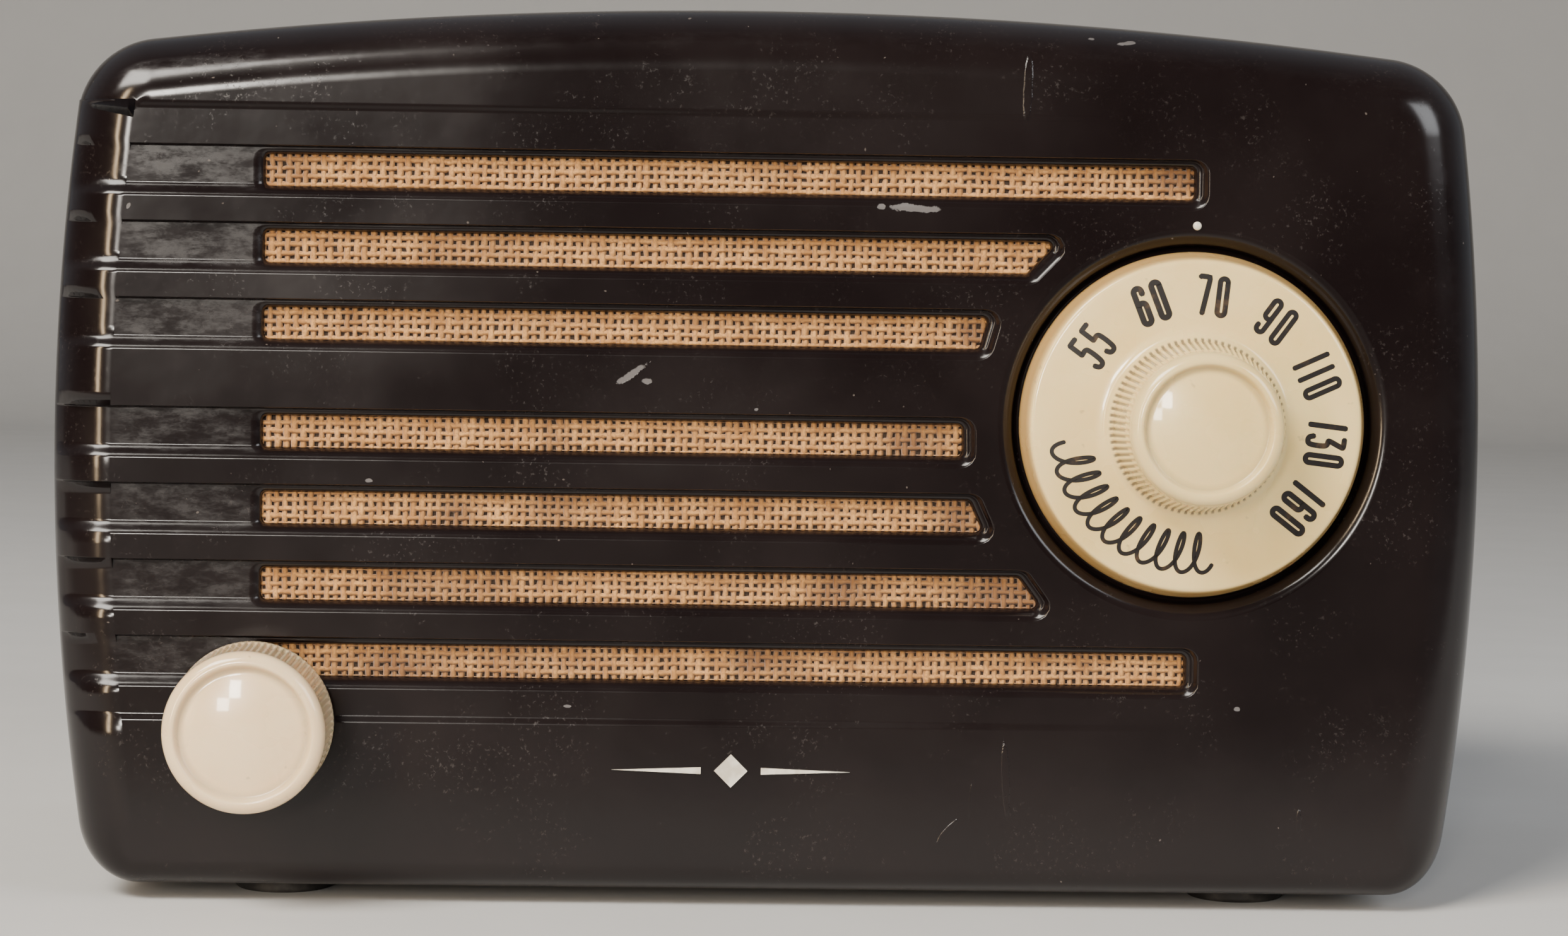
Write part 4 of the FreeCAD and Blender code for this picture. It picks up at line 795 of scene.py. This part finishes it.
def turned(name, profile, x, z, around, ribs=0):
    """Closed body turned about a front-to-back axis from (radius, y, rib share) points."""
    angles = 2 * math.pi * np.arange(around) / around
    cut = 0.5 - 0.5 * np.cos(angles * ribs) if ribs else np.zeros(around)
    verts, faces = [(x, profile[0][1], z)], []
    for radius, y, ribbed in profile[1:-1]:
        reach = radius - rib_deep * ribbed * cut
        verts += list(zip(x + reach * np.cos(angles), np.full(around, y), z + reach * np.sin(angles)))
    verts.append((x, profile[-1][1], z))
    rings = len(profile) - 2
    for i in range(around):
        j = (i + 1) % around
        faces.append((0, 1 + i, 1 + j))
        for k in range(rings - 1):
            a, b = 1 + k * around, 1 + (k + 1) * around
            faces.append((a + i, b + i, b + j, a + j))
        last = 1 + (rings - 1) * around
        faces.append((last + j, last + i, len(verts) - 1))
    return meshed(name, [tuple(c * 0.001 for c in v) for v in verts], faces, True)


knob_front = dial_low[1]
rim_round, valley_share, dome_drop = 1.75, 0.78, 1.15


def knob_profile(top, foot, foot_y):
    """From the middle of the domed face over the rim and down the ribbed skirt."""
    valley, crest = valley_share * top, top - rim_round
    points = [(0.0, knob_front + 0.02, 0.0)]
    points += [(r, knob_front + 0.02 + dome_drop * (r / valley) ** 2.05, 0.0)
               for r in np.linspace(0.8, valley, 12)]
    for t in (0.15, 0.35, 0.6, 0.85, 1.0):
        points.append((valley + (crest - valley) * t, knob_front + 1.17 - 0.95 * float(smooth(t)), 0.0))
    for a in np.linspace(8, 82, 8):
        points.append((crest + rim_round * math.sin(math.radians(a)),
                       knob_front + 2.0 - 1.8 * math.cos(math.radians(a)), 0.0))
    points.append((top, knob_front + 2.15, 0.0))
    top_y = knob_front + 2.35
    for t in (0.0, 0.04, 0.08, 0.3, 0.6, 0.9, 0.95):
        points.append((top + (foot - top) * t, top_y + (foot_y - top_y) * t, min(1.0, t / 0.07)))
    return points


plate_face, plate_edge, plate_back = knob_front + 12.35, knob_front + 12.9, dial_high[1]
plate_reach = dial_reach - 0.02
dial_knob_radii, volume_knob_radii = (11.4, 12.95), (11.9, 12.15)
dial_profile = knob_profile(*dial_knob_radii, plate_face - 0.9)
dial_profile += [(13.05, plate_face - 0.85, 0.0), (13.35, plate_face - 0.62, 0.0),
                 (13.6, plate_face - 0.3, 0.0), (14.1, plate_face - 0.08, 0.0),
                 (15.3, plate_face, 0.0), (18.0, plate_face + 0.10, 0.0),
                 (21.5, plate_face + 0.32, 0.0), (24.1, plate_edge - 0.02, 0.0),
                 (24.5, plate_edge + 0.05, 0.0), (24.75, plate_edge + 0.2, 0.0),
                 (24.9, plate_edge + 0.45, 0.0), (25.25, plate_edge + 1.7, 0.0),
                 (25.6, plate_edge + 2.9, 0.0), (plate_reach - 0.08, plate_edge + 3.8, 0.0),
                 (plate_reach, plate_edge + 4.4, 0.0), (plate_reach, plate_back - 0.4, 0.0),
                 (plate_reach - 0.12, plate_back - 0.12, 0.0), (plate_reach - 0.4, plate_back, 0.0),
                 (12.0, plate_back, 0.0), (0.0, plate_back, 0.0)]
dial = turned("tuning_dial", dial_profile, dial_x, dial_z, 480, rib_count)
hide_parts("dial_knob")


def plate_y(x, z):
    """Front of the plate under a printed mark."""
    return np.interp(np.hypot(x - dial_x, z - dial_z), [15.3, 18.0, 21.5, 24.1],
                     [plate_face, plate_face + 0.10, plate_face + 0.32, plate_edge - 0.02])


def smoothed(points, parts=8):
    """Rounds a run of points off through their middles, keeping both ends."""
    line = [points[0]]
    for a, b, c in zip(points, points[1:], points[2:]):
        start = ((a[0] + b[0]) / 2, (a[1] + b[1]) / 2)
        end = ((b[0] + c[0]) / 2, (b[1] + c[1]) / 2)
        for k in range(parts + 1):
            t = k / parts
            line.append(((1 - t) ** 2 * start[0] + 2 * t * (1 - t) * b[0] + t * t * end[0],
                         (1 - t) ** 2 * start[1] + 2 * t * (1 - t) * b[1] + t * t * end[1]))
    line.append(points[-1])
    return [p for i, p in enumerate(line)
            if i == 0 or math.hypot(p[0] - line[i - 1][0], p[1] - line[i - 1][1]) > 1e-4]


def bowl(cx, cy, half, reach, start, end, steps=14):
    return [(cx + half * math.cos(math.radians(start + (end - start) * k / steps)),
             cy + reach * math.sin(math.radians(start + (end - start) * k / steps)))
            for k in range(steps + 1)]


wide, tall = 0.58, 2.75
numerals = {
    "0": bowl(0, tall - wide, wide, wide, 0, 180) + bowl(0, wide - tall, wide, wide, 180, 360)
         + [(wide, tall - wide)],
    "1": [(0, tall), (0, -tall)],
    "3": smoothed([(-wide - 0.1, tall), (wide, tall), (wide, tall - 0.25), (-0.25, 0.45),
                   (-0.15, 0.3), (0.45, 0.25), (wide + 0.08, -0.3), (wide + 0.08, -2.0),
                   (0.45, -tall), (-0.45, -tall), (-0.7, -1.9)]),
    "5": smoothed([(wide + 0.1, tall), (-wide, tall), (-wide, tall - 0.1), (-wide, 0.55),
                   (-wide, 0.45), (0.35, 0.6), (wide + 0.05, 0.1), (wide + 0.05, -2.0),
                   (0.4, -tall), (-0.4, -tall), (-0.7, -1.95)]),
    "6": [(wide, 1.75)] + bowl(0, tall - wide, wide, wide, 0, 180)
         + bowl(0, wide - tall, wide, wide, 180, 360)
         + bowl(0, -0.1, wide, 0.55, 0, 170),
    "7": [(-wide - 0.25, tall - 0.15), (-wide - 0.15, tall), (wide, tall), (wide - 0.02, tall - 0.6),
          (-0.05, -tall)],
}
numerals["9"] = [(-x, -y) for x, y in numerals["6"]]
ink_verts, ink_faces = [], []


def printed(line, half):
    """Lays one pen stroke on the plate as a thin raised band with round ends."""
    line = np.array(line)
    way = np.gradient(line, axis=0)
    way /= np.linalg.norm(way, axis=1)[:, None] + 1e-12
    side = np.stack([-way[:, 1], way[:, 0]], axis=1)
    first, last = line[0] - way[0] * half * 0.6, line[-1] + way[-1] * half * 0.6
    line = np.concatenate([[first], line, [last]])
    side = np.concatenate([[side[0] * 0.55], side, [side[-1] * 0.55]])
    rows = []
    for share, lift in ((-1.0, 0.05), (-0.86, -0.035), (0.86, -0.035), (1.0, 0.05)):
        at = line + side * (half * share)
        rows.append(np.stack([at[:, 0], plate_y(at[:, 0], at[:, 1]) + lift, at[:, 1]], axis=1))
    start, count = len(ink_verts), len(line)
    for row in rows:
        ink_verts.extend((row * 0.001).tolist())
    for k in range(4):
        a, b = start + k * count, start + (k + 1) % 4 * count
        ink_faces.extend((a + i, a + i + 1, b + i + 1, b + i) for i in range(count - 1))
    ink_faces.append(tuple(start + k * count for k in range(4)))
    ink_faces.append(tuple(start + k * count + count - 1 for k in (3, 2, 1, 0)))


number_radius = 19.55
for text, angle, half in (("55", -53.5, 0.43), ("60", -21.2, 0.50), ("70", 6.4, 0.44), ("90", 36.5, 0.42),
                          ("110", 66.0, 0.42), ("130", 96.7, 0.45), ("160", 127.5, 0.47)):
    steps = {"1": 1.0, "7": 1.35, "3": 1.35}
    widths = [steps.get(c, 1.4) for c in text]
    total = sum(widths) * 2 - widths[0] - widths[-1]
    at, turn = -total / 2, math.radians(angle)
    for i, digit in enumerate(text):
        if i:
            at += widths[i - 1] + widths[i]
        line = []
        for u, v in numerals[digit]:
            across, up = u + at, v + number_radius
            line.append((dial_x + up * math.sin(turn) + across * math.cos(turn),
                         dial_z + up * math.cos(turn) - across * math.sin(turn)))
        finer = spread(line, 0.35, False)
        printed(finer, half)

loop_count, loop_from, loop_to = 11, math.radians(259.0), math.radians(176.5)
loops = []
for t in np.linspace(-0.20, loop_count - 1 + 0.14, 420):
    along = t + 0.36 * math.sin(2 * math.pi * t)
    high = -math.cos(2 * math.pi * t)
    along += 0.19 * (high + 1.0)
    turn = loop_from + (loop_to - loop_from) * along / (loop_count - 1)
    out = 18.95 - 2.95 * high
    loops.append((dial_x + out * math.sin(turn), dial_z + out * math.cos(turn)))
printed(loops, 0.34)
ink = meshed("dial_printing", ink_verts, ink_faces)
for piece in (dial, ink):
    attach(piece, "tuning")


def ivory(name, pale, deep, amber, centre, skirt, rim_start):
    """Aged ivory moulding: cloudy colour, amber towards its edge (partly aged colour, partly painted
    shade), painted shade in the face's valley ring and between the skirt's ribs.
    """
    made = Finish(name)
    xyz = made.node("ShaderNodeSeparateXYZ", {0: made.place}).outputs
    dx, dz = made.minus(xyz[0], centre[0] / 1000), made.minus(xyz[2], centre[1] / 1000)
    out = made.maths("SQRT", made.plus(made.times(dx, dx), made.times(dz, dz)))
    body = made.blend(made.ramp(made.noise(60.0, 4.0), 0.3, 0.7), deep, pale)
    # Amber towards the plate's edge: partly the moulding's aged colour, partly painted shade of the edge.
    edge = made.ramp(out, rim_start / 1000, (rim_start + 1.0) / 1000)
    body = made.blend(made.times(edge, 0.75), body, amber)
    top, foot = skirt[0] / 1000, skirt[1] / 1000
    # Painted shade: a dark ring in the valley of the knob's face.
    ring = made.ramp(made.maths("ABSOLUTE", made.minus(out, valley_share * top)),
                     0.0, 0.0011, 0.30, 0.0)
    rib = made.maths("COSINE", made.times(made.maths("ARCTAN2", dz, dx), float(rib_count)))
    # Painted shade: the grooves between the skirt's ribs darkened.
    low = made.times(made.ramp(rib, -0.75, 0.35, 0.95, 0.0), made.ramp(out, top + 0.0001, top + 0.0003))
    low = made.times(low, made.ramp(out, foot, foot + 0.0004, 1.0, 0.0))
    # The painted shade of the valley ring and the rib grooves goes on here.
    body = made.blend(made.larger(ring, low), body, (0.20, 0.15, 0.085, 1))
    specks = made.ramp(made.noise(520.0, 2.0), 0.70, 0.78, 0.0, 0.35)
    body = made.blend(specks, body, (0.35, 0.25, 0.14, 1))
    fine = made.noise(1400.0, 2.0)
    made.set(Base_Color=body, Roughness=made.ramp(made.noise(90.0, 3.0), 0.3, 0.7, 0.20, 0.34),
             Normal=made.bump(fine, 0.00001, 0.25), Subsurface_Weight=0.12, Subsurface_Scale=0.003,
             Coat_Weight=0.6, Coat_Roughness=0.05)
    return made.material


dial.data.materials.append(ivory("aged_ivory_dial", (0.93, 0.71, 0.33, 1), (0.87, 0.64, 0.26, 1),
                                 (0.50, 0.27, 0.08, 1), (dial_x, dial_z), dial_knob_radii, 24.4))
print_ink = Finish("brown_dial_ink")
wear = print_ink.ramp(print_ink.noise(330.0, 3.0, 0.6), 0.56, 0.72)
print_ink.set(Base_Color=print_ink.blend(print_ink.times(wear, 0.30), (0.006, 0.003, 0.002, 1),
                                         (0.20, 0.11, 0.045, 1)),
              Roughness=0.45, Normal=print_ink.bump(print_ink.noise(1500.0), 0.00001, 0.4))
ink.data.materials.append(print_ink.material)


# ---------------------------------------------------------------- volume knob
# The same ribbed knob as the dial's, moulded in a paler, pinker ivory, on the shaft of
# the volume control low on the left.

volume_low, volume_high = box_mm("volume_knob")
volume_x, volume_z = (volume_low[0] + volume_high[0]) / 2, (volume_low[2] + volume_high[2]) / 2
volume_foot = volume_high[1]
volume_profile = knob_profile(*volume_knob_radii, volume_foot - 0.75)
volume_profile += [(12.15, volume_foot - 0.7, 0.0), (12.15, volume_foot - 0.15, 0.0),
                   (12.0, volume_foot, 0.0), (9.3, volume_foot, 0.0),
                   (9.1, volume_foot - 0.3, 0.0), (9.1, volume_foot - 6.0, 0.0),
                   (4.0, volume_foot - 6.0, 0.0), (0.0, volume_foot - 6.0, 0.0)]
volume_knob = turned("volume_control_knob", volume_profile, volume_x, volume_z, 480, rib_count)
volume_knob.data.materials.append(ivory("pale_ivory_knob", (0.95, 0.73, 0.46, 1), (0.90, 0.66, 0.39, 1),
                                        (0.62, 0.42, 0.26, 1), (volume_x, volume_z),
                                        volume_knob_radii, 40.0))
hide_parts("volume_knob")
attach(volume_knob, "volume")


# ---------------------------------------------------------------- index pip
# A small ivory peg pressed into the cabinet above the dial; the numbers are read off
# against it. Its end is rounded.

pip_x, pip_z = (pip_low[0] + pip_high[0]) / 2, (pip_low[2] + pip_high[2]) / 2
pip_reach = (pip_high[0] - pip_low[0]) / 2
pip_profile = [(0.0, pip_low[1], 0.0)] + [(pip_reach * math.sin(math.radians(a)),
                                          pip_low[1] + 0.35 * (1 - math.cos(math.radians(a))), 0.0)
                                          for a in (20, 40, 60, 80, 90)]
pip_profile += [(pip_reach, pip_high[1], 0.0), (0.0, pip_high[1], 0.0)]
pip = turned("index_peg", pip_profile, pip_x, pip_z, 32)
pip.data.materials.append(ivory("ivory_peg", (0.85, 0.78, 0.66, 1), (0.80, 0.70, 0.56, 1),
                                (0.6, 0.45, 0.3, 1), (pip_x, pip_z), (5.0, 5.1), 30.0))
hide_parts("index_pip")
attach(pip, "root")


# ---------------------------------------------------------------- front ornament
# A plain lozenge between two tapering bars of thin ivory-coloured metal, cemented to the
# enamel below the slots. Its edges are softened.

def carried(node, finish, soften=0.0):
    """Gives a carried-over part its finish and, where wanted, softened edges."""
    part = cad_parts[node]
    part.data.materials.clear()
    part.data.materials.append(finish)
    if soften:
        edge = part.modifiers.new("softened", "BEVEL")
        edge.width, edge.segments, edge.limit_method = soften, 2, "ANGLE"
        edge.angle_limit = math.radians(40)


cream = Finish("cream_trim_paint")
cream.set(Base_Color=cream.blend(cream.ramp(cream.noise(420.0, 3.0), 0.35, 0.65), (0.60, 0.54, 0.44, 1),
                                 (0.80, 0.76, 0.66, 1)),
          Roughness=0.35, Normal=cream.bump(cream.noise(1600.0), 0.00001, 0.4))
carried("front_ornament", cream.material, 0.00008)


# ---------------------------------------------------------------- feet
# Four moulded black rubber bumpers pushed through holes in the cabinet floor; rubber has
# bloomed to a dusty grey in places.

rubber = Finish("dusty_black_rubber")
rubber.set(Base_Color=rubber.blend(rubber.ramp(rubber.noise(260.0, 4.0), 0.4, 0.75),
                                   (0.012, 0.011, 0.011, 1), (0.06, 0.055, 0.05, 1)),
           Roughness=rubber.ramp(rubber.noise(300.0), 0.3, 0.7, 0.6, 0.85),
           Normal=rubber.bump(rubber.noise(1200.0), 0.00004, 0.5))
carried("rubber_feet", rubber.material)


# ---------------------------------------------------------------- back, antenna and inlet
# The back is pressed brown hardboard with rows of vent holes, held by four slotted screws.
# A flat wound loop antenna is glued inside it and the power inlet is moulded black.

hardboard = Finish("brown_hardboard")
fibre = hardboard.noise(700.0, 4.0, 0.7, stretch=(1.0, 1.0, 0.35))
hardboard.set(Base_Color=hardboard.blend(hardboard.ramp(fibre, 0.3, 0.7), (0.085, 0.043, 0.020, 1),
                                         (0.19, 0.105, 0.052, 1)),
              Roughness=hardboard.ramp(hardboard.noise(40.0, 4.0), 0.3, 0.7, 0.55, 0.78),
              Normal=hardboard.bump(fibre, 0.00012, 0.6))
carried("back_cover", hardboard.material)
loop_wire = Finish("waxed_cotton_loop_wire")
turns_round = loop_wire.node("ShaderNodeTexWave",
                             {"Vector": loop_wire.place, "Scale": 420.0, "Distortion": 2.5,
                              "Detail": 2.0}).outputs[1]
loop_wire.set(Base_Color=loop_wire.blend(turns_round, (0.24, 0.10, 0.04, 1), (0.50, 0.30, 0.13, 1)),
              Roughness=0.55, Normal=loop_wire.bump(turns_round, 0.0002, 0.7))
carried("loop_antenna", loop_wire.material)


def moulding(name, dark, light, rough=0.35):
    made = Finish(name)
    flow = made.noise(55.0, 5.0, 0.65, stretch=(1.0, 1.0, 2.2))
    made.set(Base_Color=made.blend(made.ramp(flow, 0.3, 0.72), dark, light),
             Roughness=made.ramp(made.noise(150.0), 0.3, 0.7, rough - 0.08, rough + 0.12),
             Normal=made.bump(made.noise(900.0, 2.0), 0.00002, 0.35))
    return made.material


def metal(name, dark, light, rough, brushed=(1.0, 1.0, 1.0), tarnish=0.0):
    made = Finish(name)
    lines = made.noise(1100.0, 3.0, 0.6, stretch=brushed)
    body = made.blend(made.ramp(lines, 0.3, 0.7), dark, light)
    if tarnish:
        body = made.blend(made.ramp(made.noise(130.0, 4.0), 0.5, 0.8, 0.0, tarnish), body,
                          (0.16, 0.10, 0.06, 1))
    made.set(Base_Color=body, Metallic=1.0,
             Roughness=made.ramp(made.noise(220.0, 3.0), 0.3, 0.7, rough - 0.08, rough + 0.12),
             Normal=made.bump(lines, 0.00002, 0.4))
    return made.material


def card(name, dark, light, scale=500.0, gloss=0.8):
    made = Finish(name)
    mottle = made.noise(scale, 4.0, 0.65)
    made.set(Base_Color=made.blend(made.ramp(mottle, 0.3, 0.7), dark, light), Roughness=gloss,
             Normal=made.bump(mottle, 0.0001, 0.5))
    return made.material


plated = metal("dull_plated_steel", (0.42, 0.40, 0.36, 1), (0.62, 0.60, 0.56, 1), 0.38, tarnish=0.4)
carried("back_screws", plated, 0.00015)
carried("power_inlet", moulding("black_inlet_moulding", (0.010, 0.009, 0.009, 1), (0.030, 0.026, 0.024, 1)),
        0.0002)
carried("inlet_pins",
        metal("inlet_pin_brass", (0.50, 0.34, 0.14, 1), (0.70, 0.52, 0.24, 1), 0.28, (1.0, 0.1, 1.0), 0.3),
        0.0001)


# ---------------------------------------------------------------- speaker and baffle
# A four-inch cone speaker: pressed basket in black lacquer, grey paper cone, cloth
# spider, iron magnet, on a card gasket behind the fibre baffle board.

carried("grille_baffle",
        card("dark_fibre_board", (0.020, 0.013, 0.009, 1), (0.045, 0.030, 0.021, 1), 320.0))
carried("speaker_gasket", card("grey_card_gasket", (0.16, 0.14, 0.12, 1), (0.26, 0.23, 0.20, 1)))
carried("speaker_basket",
        moulding("black_basket_lacquer", (0.014, 0.014, 0.015, 1), (0.035, 0.034, 0.034, 1), 0.42))
carried("speaker_magnet",
        metal("magnet_iron", (0.16, 0.15, 0.15, 1), (0.30, 0.29, 0.28, 1), 0.5, tarnish=0.3), 0.0003)
carried("speaker_screws", plated)
cone_finish = card("grey_cone_paper", (0.045, 0.043, 0.040, 1), (0.10, 0.095, 0.09, 1), 900.0, 0.9)
for node in ("speaker_cone", "dust_cap", "cone_surround"):
    carried(node, cone_finish)
carried("cone_spider", card("amber_spider_cloth", (0.30, 0.17, 0.06, 1), (0.48, 0.30, 0.13, 1), 1500.0))
copper = metal("enamelled_copper_winding", (0.36, 0.13, 0.06, 1), (0.58, 0.24, 0.12, 1), 0.36,
               (1.0, 6.0, 1.0))
carried("voice_coil", copper)


# ---------------------------------------------------------------- chassis and controls
# The chassis is a bent pan of plated steel screwed to the cabinet floor. On it sit the
# tuning gang, the volume control and the output transformer.

carried("chassis_pan",
        metal("cadmium_chassis_plate", (0.36, 0.35, 0.31, 1), (0.52, 0.51, 0.46, 1), 0.46, tarnish=0.5))
for node in ("chassis_screws", "gang_screws", "volume_nut", "volume_case"):
    carried(node, plated)
for node in ("tuning_shaft", "volume_shaft"):
    carried(node, metal(node + "_steel", (0.44, 0.44, 0.44, 1), (0.66, 0.66, 0.66, 1), 0.30,
                        (1.0, 0.08, 1.0)))
vane = metal("aluminium_vanes", (0.60, 0.60, 0.60, 1), (0.80, 0.80, 0.80, 1), 0.34, (0.2, 1.0, 1.0))
for node in ("rotor_plates", "gang_stator"):
    carried(node, vane)
carried("gang_frame",
        metal("gang_frame_plate", (0.46, 0.45, 0.42, 1), (0.64, 0.63, 0.60, 1), 0.40, tarnish=0.2))
carried("gang_grommets", rubber.material)
carried("gang_insulators", card("white_ceramic", (0.62, 0.60, 0.55, 1), (0.78, 0.76, 0.72, 1), 200.0, 0.4))
carried("gang_trimmers",
        metal("trimmer_brass", (0.48, 0.33, 0.14, 1), (0.66, 0.48, 0.22, 1), 0.34, tarnish=0.3))
phenolic = moulding("brown_phenolic_sheet", (0.10, 0.045, 0.018, 1), (0.19, 0.09, 0.035, 1), 0.45)
for node in ("volume_wiper", "power_switch", "terminal_strips", "volume_terminals"):
    carried(node, phenolic)
carried("output_transformer_core",
        metal("stacked_iron_laminations", (0.10, 0.10, 0.11, 1), (0.20, 0.19, 0.19, 1), 0.5,
              (1.0, 9.0, 1.0), 0.3))
carried("output_transformer_coil",
        card("waxed_coil_paper", (0.30, 0.19, 0.08, 1), (0.46, 0.32, 0.15, 1), 300.0, 0.5))


# ---------------------------------------------------------------- valves, cans and small parts
# Four glass valves on black bases in phenolic sockets, two aluminium screening cans, and
# waxed-paper capacitors and composition resistors wired below the deck.

glass = Finish("valve_glass")
silver = glass.node("ShaderNodeSeparateXYZ", {0: glass.place}).outputs[2]
getter = glass.ramp(glass.plus(silver, glass.times(glass.noise(120.0), 0.006)), 0.098, 0.107, 0.0, 0.9)
glass.set(Base_Color=glass.blend(getter, (0.92, 0.94, 0.94, 1), (0.22, 0.21, 0.20, 1)), Roughness=0.05,
          Metallic=glass.times(getter, 0.9),
          Transmission_Weight=glass.minus(1.0, getter), IOR=1.47)
for number in (1, 2, 3, 4):
    carried("tube_glass_%d" % number, glass.material)
    carried("tube_base_%d" % number,
            moulding("valve_base_moulding_%d" % number, (0.012, 0.010, 0.009, 1), (0.034, 0.026, 0.020, 1)))
carried("tube_sockets", phenolic)
carried("tube_electrodes",
        metal("blackened_nickel", (0.05, 0.05, 0.05, 1), (0.12, 0.12, 0.12, 1), 0.5, (1.0, 1.0, 0.2)))
for number in (1, 2):
    carried("if_can_%d" % number,
            metal("screening_can_%d" % number, (0.58, 0.58, 0.57, 1), (0.74, 0.74, 0.73, 1), 0.40,
                  (1.0, 1.0, 0.1), 0.2), 0.0008)
carried("filter_capacitor",
        card("filter_capacitor_sleeve", (0.36, 0.26, 0.13, 1), (0.52, 0.40, 0.22, 1), 260.0, 0.6))
carried("oscillator_coil", copper)
carried("paper_capacitors",
        card("waxed_paper_tubes", (0.50, 0.38, 0.16, 1), (0.66, 0.52, 0.26, 1), 350.0, 0.45))
carried("resistors", moulding("brown_resistor_bodies", (0.12, 0.06, 0.03, 1), (0.26, 0.13, 0.06, 1), 0.4))


# ---------------------------------------------------------------- studio
# A pale floor that turns up into a backdrop; the paper turns greyer as it rises, and the
# floor darkens toward the viewer as painted shade. One large soft light from the upper left,
# a tall warm strip at the left, two small bright panes farther off and a weak fill from the right.

def floor_sheet():
    depth, rise, bend = 1.9, 1.5, 0.4
    line = [(-1.6, 0.0), (depth - bend, 0.0)]
    line += [(depth - bend + bend * math.sin(a), bend - bend * math.cos(a))
             for a in [math.pi / 2 * k / 12 for k in range(1, 13)]]
    line.append((depth, rise))
    verts = [(x, y, z) for x in (-2.2, 2.2) for y, z in line]
    count = len(line)
    faces = [(i, i + count, i + count + 1, i + 1) for i in range(count - 1)]
    return meshed("floor", verts, faces, True)


floor = floor_sheet()
paper = Finish("backdrop_paper_painted_shade")
grain = paper.noise(35.0, 5.0)
way = paper.node("ShaderNodeSeparateXYZ", {0: paper.place}).outputs
pale = paper.blend(grain, (0.62, 0.615, 0.605, 1), (0.68, 0.675, 0.665, 1))
# The paper turns greyer as it rises.
pale = paper.blend(paper.ramp(way[2], 0.02, 0.5), pale, (0.56, 0.56, 0.56, 1))
# Painted shade: the floor darkens toward the viewer.
paper.set(Base_Color=paper.blend(paper.ramp(way[1], -0.26, -0.10), (0.05, 0.048, 0.046, 1), pale),
          Roughness=0.85, Normal=paper.bump(paper.noise(600.0, 2.0), 0.0001, 0.3))
floor.data.materials.append(paper.material)


def soft_light(name, place, aim, size, power, colour):
    lamp = bpy.data.lights.new(name, "AREA")
    lamp.shape = "RECTANGLE"
    lamp.size, lamp.size_y = size
    lamp.energy = power
    lamp.color = colour
    thing = placed(name, lamp)
    thing.location = place
    thing.rotation_euler = (Vector(aim) - Vector(place)).to_track_quat("-Z", "Y").to_euler()


soft_light("window_light", (-0.65, -0.85, 1.05), (0.0, 0.0, 0.07), (0.7, 0.5), 27.0, (1.0, 0.95, 0.87))
soft_light("tall_strip", (-0.66, -0.90, 0.30), (-0.05, -0.04, 0.07), (0.09, 0.62), 6.0, (1.0, 0.74, 0.46))
soft_light("upper_pane", (-0.56, -2.88, 0.70), (0.0, -0.046, 0.05), (0.26, 0.42), 24.0, (1.0, 0.95, 0.87))
soft_light("lower_pane", (-0.82, -2.85, 0.33), (0.0, -0.046, 0.05), (0.28, 0.30), 14.0, (1.0, 0.93, 0.84))
soft_light("right_fill", (0.8, -0.7, 0.5), (0.0, 0.0, 0.07), (0.5, 0.5), 6.0, (0.95, 0.97, 1.0))
world = bpy.data.worlds.new("studio")
world.use_nodes = True
room = world.node_tree.nodes["Background"]
around = world.node_tree.nodes.new("ShaderNodeTexCoord")
split = world.node_tree.nodes.new("ShaderNodeSeparateXYZ")
ahead = world.node_tree.nodes.new("ShaderNodeMapRange")
ahead.interpolation_type = "SMOOTHSTEP"
for key, value in (("From Min", -0.55), ("From Max", 0.35), ("To Min", 0.02), ("To Max", 0.38)):
    ahead.inputs[key].default_value = value
world.node_tree.links.new(around.outputs["Generated"], split.inputs[0])
world.node_tree.links.new(split.outputs[1], ahead.inputs["Value"])
world.node_tree.links.new(ahead.outputs[0], room.inputs[1])
room.inputs[0].default_value = (0.80, 0.85, 0.92, 1)
bpy.context.scene.world = world
